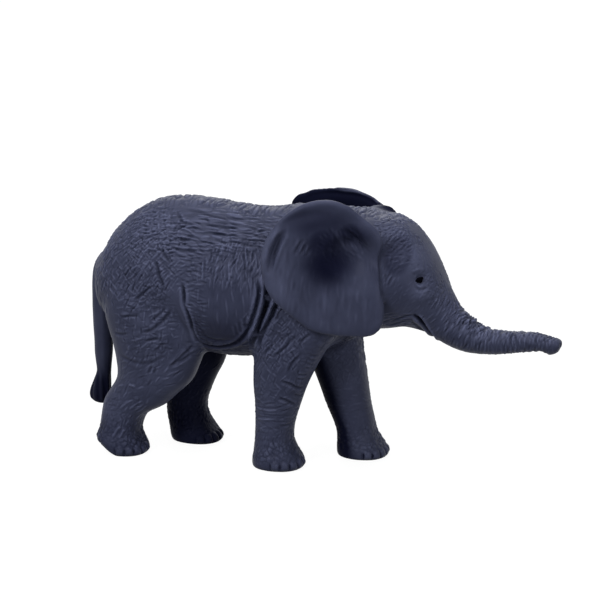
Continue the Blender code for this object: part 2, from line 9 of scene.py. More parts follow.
from __future__ import annotations

import logging
import math
from collections.abc import Iterable
from dataclasses import dataclass, replace
from enum import Enum
from itertools import product

import bmesh
import bpy
import numpy as np
from mathutils import Matrix, Vector
from mathutils.bvhtree import BVHTree

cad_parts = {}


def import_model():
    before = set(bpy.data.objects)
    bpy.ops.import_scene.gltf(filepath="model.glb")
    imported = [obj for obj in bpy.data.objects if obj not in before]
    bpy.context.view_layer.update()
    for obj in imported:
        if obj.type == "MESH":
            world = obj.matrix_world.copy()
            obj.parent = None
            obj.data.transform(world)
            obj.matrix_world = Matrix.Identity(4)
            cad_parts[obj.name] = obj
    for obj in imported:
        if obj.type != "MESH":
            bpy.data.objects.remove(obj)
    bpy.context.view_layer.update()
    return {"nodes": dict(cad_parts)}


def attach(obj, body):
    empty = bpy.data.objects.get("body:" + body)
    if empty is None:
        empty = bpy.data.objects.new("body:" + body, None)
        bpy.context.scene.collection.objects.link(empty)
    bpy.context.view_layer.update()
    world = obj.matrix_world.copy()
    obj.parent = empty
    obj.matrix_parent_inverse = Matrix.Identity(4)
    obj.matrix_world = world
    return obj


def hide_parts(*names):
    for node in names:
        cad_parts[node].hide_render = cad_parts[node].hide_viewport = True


LOG = logging.getLogger("toy_elephant")
MM = 0.001
WHITE = (1, 1, 1, 1)
LOTS = 4096  # rows of a table of random values
PRIMES = (73856093, 19349663, 83492791)  # spread the cells of space over such a table
CRACK_SEEDS, WRINKLE_SEEDS = 8, 2  # seeds from one patch to the next

Pair = tuple[float, float]
Point = tuple[float, float, float]
Points = tuple[Point, ...]
Names = tuple[str, ...]
Nodes = dict[str, bpy.types.Object]
Array = np.ndarray


class Side(Enum):
    """Which side of the figure something is on, with the sign of its y."""

    RIGHT = -1.0
    LEFT = 1.0


class Mark(Enum):
    """What the skin carries at every point for its finish to read."""

    # creases, which the finish darkens with painted shade
    CREASE = "crease"
    # crests and brightened patches, which the finish lightens with painted highlight
    CREST = "crest"
    # dark paint, and painted shade where shade falls
    SPRAY = "spray"


class Cut(Enum):
    """How a line is worked into the skin."""

    GROOVE = -1.0
    RIDGE = 1.0


@dataclass(frozen=True)
class Line:
    """A named fold or wrinkle drawn on the skin.

    Args:
        points: Where it runs.
        depth: How deep the groove or how high the ridge is.
        width: Half its width.
        cut: Groove or ridge.
        fade: Share of its length over which each end runs out.
    """

    points: Points
    depth: float
    width: float
    cut: Cut = Cut.GROOVE
    fade: float = 0.2


@dataclass(frozen=True)
class Swell:
    """A soft rise of the skin, or a hollow if its height is negative.

    Args:
        centre: Middle of the rise.
        reach: How far it spreads along x, y and z.
        height: Its height.
        both: Whether the left side has it too.
    """

    centre: Point
    reach: Point
    height: float
    both: bool = True


@dataclass(frozen=True)
class Push:
    """A pull or push of all the skin round a place, both faces of a thin part alike.

    Args:
        centre: Middle.
        reach: How far it spreads along x, y and z.
        move: How far the middle goes.
    """

    centre: Point
    reach: Point
    move: Point


@dataclass(frozen=True)
class Patch:
    """An oval patch of the skin in side view.

    Args:
        centre: Its middle, x and z.
        reach: Half its length and half its height.
    """

    centre: Pair
    reach: Pair


@dataclass(frozen=True)
class Wrinkles(Patch):
    """A patch of short wrinkles that mostly run one way.

    Args:
        angle: Which way the wrinkles run, in degrees above forward.
        spread: How far they turn from that, in degrees.
        length: Length of one wrinkle.
        spacing: Distance between neighbours.
        depth: Depth.
        width: Half width of one wrinkle.
        raised: Share of them that stand proud instead.
    """

    angle: float
    spread: float
    length: float
    spacing: float
    depth: float
    width: float = 0.17
    raised: float = 0.4


@dataclass(frozen=True)
class Crackle(Patch):
    """A patch of skin that is cracked into small plates.

    Args:
        angle: Which way the plates are long, in degrees above forward.
        cell: Length and width of a plate.
        depth: Depth of the cracks.
        width: Half width of the cracks, as a share of a plate.
    """

    angle: float
    cell: Pair
    depth: float
    width: float = 0.13


def smooth_line(points: Points, steps: int = 5) -> Array:
    """Rounds a line of points with a Catmull-Rom spline.

    Args:
        points: The points that it goes through.
        steps: Spans between two of them.

    Returns:
        The denser line.
    """
    rows = np.asarray(points, float)
    if len(rows) < 3:
        return rows
    padded = np.vstack([2 * rows[0] - rows[1], rows, 2 * rows[-1] - rows[-2]])
    made = []
    for a, b, c, d in zip(padded, padded[1:], padded[2:], padded[3:]):
        for t in np.arange(steps) / steps:
            bend = (2 * a - 5 * b + 4 * c - d) * t**2 + (3 * b - a - 3 * c + d) * t**3
            made.append((2 * b + (c - a) * t + bend) / 2)
    made.append(rows[-1])
    return np.array(made)


def distance_to_line(points: Array, line: Array) -> tuple[Array, Array]:
    """Distance of points from a line, and how far along it they are.

    Args:
        points: The points.
        line: The corners of the line.

    Returns:
        Distances, and shares of the line's length from 0 to 1.
    """
    steps = np.linalg.norm(np.diff(line, axis=0), axis=1)
    reached = np.concatenate([[0], np.cumsum(steps)])
    best = np.full(len(points), np.inf)
    share = np.zeros(len(points))
    for a, b, start, step in zip(line, line[1:], reached, steps):
        along = b - a
        t = np.clip((points - a) @ along / max(step * step, 1e-9), 0, 1)
        far = np.linalg.norm(points - a - t[:, None] * along, axis=1)
        nearer = far < best
        best = np.where(nearer, far, best)
        share = np.where(nearer, (start + t * step) / reached[-1], share)
    return best, share

def eased(value: Array) -> Array:
    """Smooth step from 0 to 1."""
    t = np.clip(value, 0, 1)
    return t * t * (3 - 2 * t)


def bell(value: Array) -> Array:
    """Bell curve: 1 at 0, and as good as nothing from 2.6 on."""
    return np.exp(-(value**2))


def table_rows(cells: Array) -> Array:
    """Row of a table of random values for each cell of space."""
    return (cells[:, 0] * PRIMES[0] ^ cells[:, 1] * PRIMES[1] ^ cells[:, 2] * PRIMES[2]) % LOTS


def lumps(points: Array, size: float, seed: int) -> Array:
    """Smooth random lumps in space.

    Args:
        points: Where to read them.
        size: Distance between lumps.
        seed: Chooses the pattern.

    Returns:
        One value from -1 to 1 for each point.
    """
    table = np.random.RandomState(seed).uniform(-1, 1, LOTS)
    spot = points / size + 1000.0
    base = np.floor(spot).astype(np.int64)
    part = spot - base
    part = part * part * (3 - 2 * part)
    made = np.zeros(len(points))
    for corner in product((0, 1), repeat=3):
        offset = np.array(corner[::-1])
        weight = np.prod(np.where(offset == 1, part, 1 - part), axis=1)
        made += table[table_rows(base + offset)] * weight
    return made


def wobble(points: Array, size: float, seeds: tuple[int, int, int]) -> Array:
    """Smooth random shifts, from -1 to 1 along each axis, with a seed for each."""
    return np.stack([lumps(points, size, seed) for seed in seeds], axis=1)


def plates(spot: Array, seed: int, top: float, dome: float, gap: float, depth: float = 1.0) -> Array:
    """Relief of domed plates with cracks between them, one plate for each unit cube of space.

    Args:
        spot: Where to look.
        seed: Chooses the plates.
        top: Height of a plate's middle.
        dome: Fall from there over a distance of 1.
        gap: Half width of the cracks.
        depth: Depth of the cracks.

    Returns:
        One height for each spot.
    """
    table = np.random.RandomState(seed).uniform(0.05, 0.95, (LOTS, 3))
    base = np.floor(spot).astype(np.int64)
    first = np.full(len(spot), 9.0)
    second = first.copy()
    for offset in product((-1, 0, 1), repeat=3):
        cell = base + offset
        far = np.linalg.norm(cell + table[table_rows(cell)] - spot, axis=1)
        second = np.minimum(second, np.maximum(first, far))
        first = np.minimum(first, far)
    return top - dome * first - depth * bell((second - first) / gap)


def mirrored(points: Points | Array) -> Array:
    """The same points on the left side."""
    return np.asarray(points, float) * (1, -1, 1)


def read(items: bpy.types.bpy_prop_collection, name: str, numbers: int, kind: type = np.float32) -> Array:
    """Reads a property of all of a mesh's vertices, corners or normals.

    Args:
        items: What is read.
        name: The property.
        numbers: How many numbers it has.
        kind: Their type.

    Returns:
        One row of numbers for each item.
    """
    flat = np.empty(len(items) * numbers, kind)
    items.foreach_get(name, flat)
    return flat.reshape(-1, numbers)


def mesh_of(bm: bmesh.types.BMesh, name: str) -> bpy.types.Mesh:
    """Turns a bmesh, which is freed, into a mesh.

    Args:
        bm: The shape.
        name: The mesh's name.

    Returns:
        The mesh.
    """
    mesh = bpy.data.meshes.new(name)
    bm.to_mesh(mesh)
    bm.free()
    return mesh


def add_object(name: str, data: bpy.types.ID) -> bpy.types.Object:
    """Adds an object to the scene.

    Args:
        name: Its name.
        data: Its mesh, lamp or camera.

    Returns:
        The object.
    """
    made = bpy.data.objects.new(name, data)
    bpy.context.scene.collection.objects.link(made)
    return made


class Skin:
    """The whole surface of the figure as points that can be pushed in and out."""

    GRAIN = 0.17 * MM  # spacing of the skin's points
    QUICK_GRAIN = 0.30 * MM
    COARSE_GRAIN = 0.36 * MM
    COARSE_ROUNDS, FINE_ROUNDS = 6, 5  # of smoothing
    BORDER_ROUNDS = 8  # of smoothing the borders between the nodes
    TOUCH = 0.001 * MM  # points nearer than this are one
    SWELL = 0.17 * MM  # closes the seams between the nodes before they are fused
    TAKEN_BACK = 0.9  # share of that swelling
    RIM = 0.9 * MM  # how far a moulding's cut edge turns inwards
    CELL = 2.5
    CELL_SHIFT, CELL_ROW = 100, 1000  # turn a cell's place into one number
    BELL_REACH = 2.6  # reaches from its middle to where a bell ends
    OFF_MIDDLE = 2.0  # distance from the middle at which a swelling keeps to its own side
    FULL_CREASE, FULL_CREST = 0.16, 0.10  # relief that the finish reads as full painted shade and full painted highlight
    SHOULDER = 0.28  # of a drawn line, as a share of its depth
    THICK = 1.3  # how far through the skin a wrinkle reaches
    TRIES = 6  # places that are tried for each wrinkle that is wanted
    COVER = 2.2  # wrinkles wanted for an area of their length times their spacing
    CLEAR = 0.62  # share of its length that a wrinkle keeps clear of others at each end
    PLATES_AT = 700.0  # which part of the endless random pattern the plates are taken from

    def __init__(self, nodes: Nodes) -> None:
        """Fuses the nodes and reads the points.

        Args:
            nodes: The CAD nodes by name.
        """
        self.grain = self.GRAIN
        self.names = sorted(nodes)
        self.object = self._fused(nodes)
        self.mesh = self.object.data
        self.points = read(self.mesh.vertices, "co", 3).astype(float) / MM
        self.normals = self._outwards()
        self.quads = read(self.mesh.loops, "vertex_index", 1, np.int32).reshape(-1, 4)
        self.owner = self._owners(nodes)
        self.home = np.zeros(len(self.points), int)
        for corner in range(4):
            self.home[self.quads[:, corner]] = self.owner
        self.lift = np.full(len(self.points), -self.TAKEN_BACK * self.SWELL / MM)
        self.marks = {mark: np.zeros(len(self.points)) for mark in Mark}
        self._sort_cells()
        LOG.info("skin: %d points, %d faces", len(self.points), len(self.quads))

    def _fused(self, nodes: Nodes) -> bpy.types.Object:
        """Fuses the nodes into one closed surface.

        Args:
            nodes: The CAD nodes by name.

        Returns:
            An object that holds the surface.
        """
        bm = bmesh.new()
        for node in nodes.values():
            bm.from_mesh(node.data)
        bmesh.ops.remove_doubles(bm, verts=bm.verts[:], dist=self.TOUCH)
        bm.normal_update()
        for vert, normal in [(v, v.normal.copy()) for v in bm.verts]:
            vert.co += normal * self.SWELL
        rough = self._remeshed(bm, self.COARSE_GRAIN, self.COARSE_ROUNDS)
        bm = bmesh.new()
        bm.from_mesh(rough.data)
        bpy.data.objects.remove(rough)
        self._drop_cavities(bm)
        return self._remeshed(bm, self.grain, self.FINE_ROUNDS)

    @staticmethod
    def _remeshed(bm: bmesh.types.BMesh, grain: float, rounds: int) -> bpy.types.Object:
        """Voxel remesh and smoothing of a bmesh, which is freed.

        Args:
            bm: The surface.
            grain: Voxel size in metres.
            rounds: Rounds of smoothing.

        Returns:
            An object with the new mesh.
        """
        source = add_object("skin_before", mesh_of(bm, "skin_before"))
        fuse = source.modifiers.new("fuse", "REMESH")
        fuse.mode = "VOXEL"
        fuse.voxel_size = grain
        soften = source.modifiers.new("soften", "SMOOTH")
        soften.iterations = rounds
        bpy.context.view_layer.update()
        graph = bpy.context.evaluated_depsgraph_get()
        mesh = bpy.data.meshes.new_from_object(source.evaluated_get(graph))
        bpy.data.objects.remove(source)
        return add_object("skin", mesh)

    @staticmethod
    def _drop_cavities(bm: bmesh.types.BMesh) -> None:
        """Removes every closed surface but the largest, such as what is left of a socket inside.

        Args:
            bm: The surface.
        """
        unseen = set(bm.verts)
        groups = []
        while unseen:
            start = unseen.pop()
            group, queue = [start], [start]
            while queue:
                for edge in queue.pop().link_edges:
                    for vert in edge.verts:
                        if vert in unseen:
                            unseen.discard(vert)
                            group.append(vert)
                            queue.append(vert)
            groups.append(group)
        groups.sort(key=len)
        bmesh.ops.delete(bm, geom=[v for group in groups[:-1] for v in group], context="VERTS")

    def _outwards(self) -> Array:
        """The skin's outward direction at each point."""
        return read(self.mesh.vertex_normals, "vector", 3).astype(float)

    def _owners(self, nodes: Nodes) -> Array:
        """Which node each face belongs to, with smooth borders.

        Args:
            nodes: The CAD nodes by name.

        Returns:
            Index into the names for each face.
        """
        corners: list[Vector] = []
        faces: list[tuple[int, ...]] = []
        codes: list[int] = []
        for code, name in enumerate(self.names):
            start = len(corners)
            corners += [v.co.copy() for v in nodes[name].data.vertices]
            for face in nodes[name].data.polygons:
                faces.append(tuple(start + i for i in face.vertices))
                codes.append(code)
        tree = BVHTree.FromPolygons(corners, faces)
        middles = self.points[self.quads].mean(axis=1) * MM
        owner = np.array([codes[tree.find_nearest(Vector(p))[2]] for p in middles])
        for _ in range(self.BORDER_ROUNDS):
            votes = np.zeros((len(self.points), len(self.names)))
            for corner in range(4):
                np.add.at(votes, (self.quads[:, corner], owner), 1)
            owner = votes[self.quads].sum(axis=1).argmax(axis=1)
        return owner

    def _cell(self, places: Array) -> Array:
        """The cell that holds each place."""
        return np.floor(places / self.CELL).astype(int) + self.CELL_SHIFT

    def _sort_cells(self) -> None:
        """Sorts the points into cells, so that the ones near a place are found fast."""
        cell = self._cell(self.points)
        code = (cell[:, 0] * self.CELL_ROW + cell[:, 1]) * self.CELL_ROW + cell[:, 2]
        order = np.argsort(code, kind="stable")
        values, starts = np.unique(code[order], return_index=True)
        ends = np.append(starts[1:], len(order))
        self.cells = {int(v): order[s:e] for v, s, e in zip(values, starts, ends)}

    def near(self, place: Array, reach: float) -> Array:
        """Points in the cells around a place.

        Args:
            place: Where.
            reach: How far.

        Returns:
            Indices of the points.
        """
        spans = [range(a, b + 1) for a, b in zip(self._cell(place - reach), self._cell(place + reach))]
        codes = [(i * self.CELL_ROW + j) * self.CELL_ROW + k for i, j, k in product(*spans)]
        return np.concatenate([self.cells[code] for code in codes if code in self.cells])

    def within(self, low: Array, high: Array) -> Array:
        """Indices of the points inside a box."""
        return np.nonzero(((self.points >= low) & (self.points <= high)).all(axis=1))[0]

    def beside(self, path: Array, margin: float) -> Array:
        """Indices of the points in the box around a line, with a margin."""
        return self.within(path.min(axis=0) - margin, path.max(axis=0) + margin)

    def around(self, centre: Array, reach: Array) -> tuple[Array, Array]:
        """Finds the points round a place.

        Args:
            centre: Where.
            reach: How far a bell spreads along x, y and z.

        Returns:
            Indices of the points, and the bell's height there, 1 in the middle.
        """
        chosen = self.within(centre - self.BELL_REACH * reach, centre + self.BELL_REACH * reach)
        return chosen, np.exp(-(((self.points[chosen] - centre) / reach) ** 2).sum(axis=1))

    def on_node(self, *names: str) -> Array:
        """Indices of the points that some face of these nodes has."""
        codes = [self.names.index(name) for name in names]
        return np.unique(self.quads[np.isin(self.owner, codes)])

    def belongs(self, chosen: Array, names: Names) -> Array:
        """Whether each of these points is on one of these nodes."""
        return np.isin(self.home[chosen], [self.names.index(name) for name in names])

    def on_patch(self, patch: Patch, facing: Side, names: Names) -> tuple[Array, Array]:
        """Finds the points of an oval patch on one side.

        Args:
            patch: The patch.
            facing: Which way the skin looks there.
            names: The nodes that it may lie on.

        Returns:
            Indices of the points, and how much each is inside, from 0 at the edge to 1 in the middle.
        """
        off_x = (self.points[:, 0] - patch.centre[0]) / patch.reach[0]
        off_z = (self.points[:, 2] - patch.centre[1]) / patch.reach[1]
        inside = 1 - off_x**2 - off_z**2
        chosen = np.nonzero((inside > 0) & (self.normals[:, 1] * facing.value > 0.05))[0]
        chosen = chosen[self.belongs(chosen, names)]
        return chosen, inside[chosen]

    def draw(self, line: Line, both: bool = True) -> None:
        """Works a line into the skin, on the right side and on the left too if both are wanted."""
        for points in (line.points, mirrored(line.points))[: 1 + both]:
            self.draw_one(smooth_line(points), line.depth * line.cut.value, line.width, line.fade)

    def draw_one(self, path: Array, height: float, width: float, fade: float = 0.2) -> None:
        """Works one groove or ridge with soft shoulders into the skin.

        Args:
            path: Its middle line.
            height: Over the skin, negative for a groove.
            width: Half width.
            fade: Share of its length over which each end runs out.
        """
        chosen = self.beside(path, 4 * width)
        far, share = distance_to_line(self.points[chosen], path)
        ends = eased(np.minimum(share, 1 - share) / fade + 0.1)
        shoulder = bell((far - 2.0 * width) / width)
        self.lift[chosen] += height * ends * (bell(far / width) - self.SHOULDER * shoulder)

    def swell(self, form: Swell) -> None:
        """Raises or sinks a soft form.

        Args:
            form: Where, how wide and how high.
        """
        for centre in (np.array(form.centre), mirrored(form.centre))[: 1 + form.both]:
            chosen, height = self.around(centre, np.array(form.reach))
            outwards = np.sign(centre[1]) * self.normals[chosen, 1]
            facing = eased(outwards * 2 + 0.6) if abs(centre[1]) > self.OFF_MIDDLE else 1.0
            self.lift[chosen] += form.height * height * facing

    def push(self, push: Push) -> None:
        """Moves the skin round a place."""
        chosen, share = self.around(np.array(push.centre), np.array(push.reach))
        self.points[chosen] += share[:, None] * np.array(push.move)

    def texture(
        self,
        crackles: Iterable[Crackle],
        patches: Iterable[Wrinkles],
        facing: Side,
        seeds: tuple[int, int],
        names: Names,
    ) -> None:
        """Cracks and then wrinkles one side, patch by patch.

        Args:
            crackles: The patches to crack.
            patches: The patches to wrinkle.
            facing: Which way the skin looks there.
            seeds: Seed of the right side's first cracks, and of its first wrinkles.
            names: The nodes that they lie on.
        """
        left = facing is Side.LEFT
        for number, cracks in enumerate(crackles):
            self.crackle(cracks, facing, seeds[0] + CRACK_SEEDS * number + left, names)
        for number, wrinkles in enumerate(patches):
            self.scatter(wrinkles, facing, seeds[1] + WRINKLE_SEEDS * number + left, names)

    def scatter(self, wrinkles: Wrinkles, facing: Side, seed: int, names: Names) -> None:
        """Fills a patch with short wrinkles.

        Args:
            wrinkles: The patch.
            facing: Which way the skin looks there.
            seed: Chooses their places.
            names: The nodes that it lies on.
        """
        chosen, inside = self.on_patch(wrinkles, facing, names)
        chance = np.random.RandomState(seed)
        step = self.grain / MM
        area = self.COVER * len(chosen) * (step * step)
        wanted = int(area / (wrinkles.length * wrinkles.spacing)) + 1
        taken: list[Array] = []
        for pick in chance.choice(len(chosen), min(self.TRIES * wanted, len(chosen)), replace=False):
            index = chosen[pick]
            turn = math.radians(wrinkles.angle + chance.normal(0, wrinkles.spread))
            way = np.array([math.cos(turn), 0.0, math.sin(turn)])
            place = self.points[index]
            if taken:
                offset = np.array(taken) - place
                along = offset @ way
                across = np.linalg.norm(offset - along[:, None] * way, axis=1)
                ahead = np.abs(along) < self.CLEAR * wrinkles.length
                if (ahead & (across < wrinkles.spacing)).any():
                    continue
            taken.append(place)
            edge = min(1.0, 0.35 + 2.0 * inside[pick])
            height = wrinkles.depth * chance.uniform(0.55, 1.3) * edge
            length = wrinkles.length * chance.uniform(0.55, 1.35)
            width = wrinkles.width * chance.uniform(0.8, 1.25)
            height = 0.85 * height if chance.uniform() < wrinkles.raised else -height
            self.stroke(index, way, length, width, height, chance.normal(0, 0.06))

    def stroke(self, index: int, way: Array, length: float, width: float, height: float, bend: float) -> None:
        """Presses one short curved wrinkle into the skin, or raises it.

        Args:
            index: The point at its middle.
            way: Its direction.
            length: Its length.
            width: Half its width.
            height: Negative for a pressed one.
            bend: How much it curves.
        """
        place, out = self.points[index], self.normals[index]
        along = way - out * (way @ out)
        size = np.linalg.norm(along)
        if size < 0.2:
            return
        along = along / size
        across = np.cross(out, along)
        chosen = self.near(place, length / 2 + 3 * width)
        offset = self.points[chosen] - place
        a, b, c = offset @ along, offset @ across, offset @ out
        fade = np.clip(1 - (2 * a / length) ** 2, 0, 1) ** 1.5 * (np.abs(c) < self.THICK)
        b = (b - bend * a * a) / width
        shoulder = 0.40 if height < 0 else 0.25
        self.lift[chosen] += height * fade * (bell(b) - shoulder * bell(np.abs(b) - 1.9))

    def crackle(self, cracks: Crackle, facing: Side, seed: int, names: Names) -> None:
        """Cracks a patch into plates.

        Args:
            cracks: The patch.
            facing: Which way the skin looks there.
            seed: Chooses the cracks.
            names: The nodes that it lies on.
        """
        chosen, inside = self.on_patch(cracks, facing, names)
        place = self.points[chosen]
        turn = math.radians(cracks.angle)
        x = place[:, 0] + 0.45 * lumps(place, 2.3, seed + 1)
        z = place[:, 2] + 0.45 * lumps(place, 2.3, seed + 2)
        along = (x * math.cos(turn) + z * math.sin(turn)) / cracks.cell[0]
        across = (z * math.cos(turn) - x * math.sin(turn)) / cracks.cell[1]
        spot = np.stack([along, across, place[:, 1] / cracks.cell[0]], axis=1) + self.PLATES_AT
        power = np.clip(0.75 + 0.7 * lumps(place, 1.7, seed + 3), 0.15, 1.3) * eased(inside * 2.2)
        self.lift[chosen] += cracks.depth * power * plates(spot, seed, 0.30, 0.25, cracks.width)

    def settle(self) -> None:
        """Moves the points by what has been worked so far and starts afresh from there."""
        self.points += self.normals * self.lift[:, None]
        self.points[:, 2] = np.maximum(self.points[:, 2], 0)
        self.mesh.vertices.foreach_set("co", (self.points * MM).astype(np.float32).ravel())
        self.mesh.update()
        self.normals = self._outwards()
        self.lift[:] = 0
        self._sort_cells()

    def note_relief(self) -> None:
        """Remembers where the skin is creased and where it stands proud, for the finish to paint shade into
        the creases and highlights on the crests.
        """
        self.marks[Mark.CREASE] = np.clip(-self.lift / self.FULL_CREASE, 0, 1.5)
        self.marks[Mark.CREST] = np.clip(self.lift / self.FULL_CREST, 0, 1)

    def spray(self, chosen: Array, amount: Array) -> None:
        """Adds dark colour, at most a full coat: real paint in some places, painted shade in others."""
        coat = self.marks[Mark.SPRAY]
        coat[chosen] = 1 - (1 - coat[chosen]) * (1 - np.clip(amount, 0, 1))

    def paint_highlight(self, centre: Point, reach: Point, amount: float) -> None:
        """Paints a highlight on the skin round a place.

        Args:
            centre: Middle.
            reach: How far it spreads along x, y and z.
            amount: Painted highlight in the middle, from 0 to 1.
        """
        far = (((self.points - centre) / reach) ** 2).sum(axis=1)
        crest = self.marks[Mark.CREST]
        crest += (1 - crest) * amount * np.exp(-far)

    def write_marks(self) -> None:
        """Puts the marks and the owners on the mesh for the pieces to inherit."""
        layers = [(mark.value, "FLOAT", "POINT", row.astype(np.float32)) for mark, row in self.marks.items()]
        layers.append(("owner", "INT", "FACE", self.owner.astype(np.int32)))
        layers.append(("root", "INT", "POINT", np.arange(len(self.points), dtype=np.int32)))
        for name, kind, where, values in layers:
            self.mesh.attributes.new(name, kind, where).data.foreach_set("value", values)

    def moulding(self, name: str, side: Side | None = None) -> bpy.types.Object:
        """Cuts one moulding out of the skin and closes its cut edge.

        Args:
            name: The CAD node that it stands for.
            side: The half that is wanted, cut at the mould's parting line, or the whole.

        Returns:
            The piece.
        """
        bm = bmesh.new()
        bm.from_mesh(self.mesh)
        owner = bm.faces.layers.int["owner"]
        root = bm.verts.layers.int["root"]
        code = self.names.index(name)
        gone = [f for f in bm.faces if f[owner] != code]
        if side is not None:
            gone += [f for f in bm.faces if f[owner] == code and f.calc_center_median().y * side.value <= 0]
        bmesh.ops.delete(bm, geom=gone, context="FACES")
        out = {v: v.normal.copy() for v in bm.verts}
        rim = [e for e in bm.edges if e.is_boundary]
        old = {v for e in rim for v in e.verts}
        made = bmesh.ops.extrude_edge_only(bm, edges=rim)["geom"]
        for vert in [g for g in made if isinstance(g, bmesh.types.BMVert)]:
            start = next((e.other_vert(vert) for e in vert.link_edges if e.other_vert(vert) in old), None)
            vert[root] = -1
            if start is not None:
                vert.co -= out[start] * self.RIM
        bmesh.ops.holes_fill(bm, edges=[e for e in bm.edges if e.is_boundary], sides=0)
        title = "_".join(filter(None, (name, side and side.name.lower(), "skin")))
        mesh = mesh_of(bm, title)
        mesh.attributes.remove(mesh.attributes["owner"])
        mesh.shade_smooth()
        self._keep_normals(mesh)
        return add_object(title, mesh)

    def _keep_normals(self, mesh: bpy.types.Mesh) -> None:
        """Gives a piece the whole skin's shading along its cut edge, so that the seam doesn't show.

        Args:
            mesh: The piece's mesh.
        """
        own = read(mesh.vertex_normals, "vector", 3)
        roots = read(mesh.attributes["root"].data, "value", 1, np.int32)[:, 0]
        kept = roots >= 0
        own[kept] = self.normals[roots[kept]]
        mesh.attributes.remove(mesh.attributes["root"])
        mesh.normals_split_custom_set_from_vertices(own.tolist())

    def remove(self) -> None:
        """Takes the whole skin out of the scene once it is parted."""
        bpy.data.objects.remove(self.object)


def linear(hex_colour: str) -> tuple[float, float, float, float]:
    """An sRGB hex colour as linear values.

    Args:
        hex_colour: Such as #3C4054.

    Returns:
        Red, green, blue and 1.
    """
    parts = [int(hex_colour[i : i + 2], 16) / 255 for i in (1, 3, 5)]
    red, green, blue = [p / 12.92 if p <= 0.04045 else ((p + 0.055) / 1.055) ** 2.4 for p in parts]
    return red, green, blue, 1.0


def add_node(
    tree: bpy.types.NodeTree,
    kind: str,
    settings: dict[str, object] | None = None,
    links: dict[str, bpy.types.NodeSocket] | None = None,
) -> bpy.types.Node:
    """Adds a node.

    Args:
        tree: Where to add it.
        kind: Its type, without the ShaderNode in front.
        settings: Values by the name or the number of a socket, or by the name of a property of the node.
        links: What feeds its sockets, by name or by number.

    Returns:
        The node.
    """
    node = tree.nodes.new("ShaderNode" + kind)
    for name, value in (settings or {}).items():
        if not name.isdigit() and hasattr(node, name):
            setattr(node, name, value)
        else:
            node.inputs[int(name) if name.isdigit() else name].default_value = value
    for name, source in (links or {}).items():
        tree.links.new(source, node.inputs[int(name) if name.isdigit() else name])
    return node


def new_material(name: str) -> bpy.types.Material:
    """A material whose nodes are still to be added.

    Args:
        name: Its name.

    Returns:
        The material.
    """
    made = bpy.data.materials.new(name)
    made.use_nodes = True
    made.node_tree.nodes.clear()
    return made


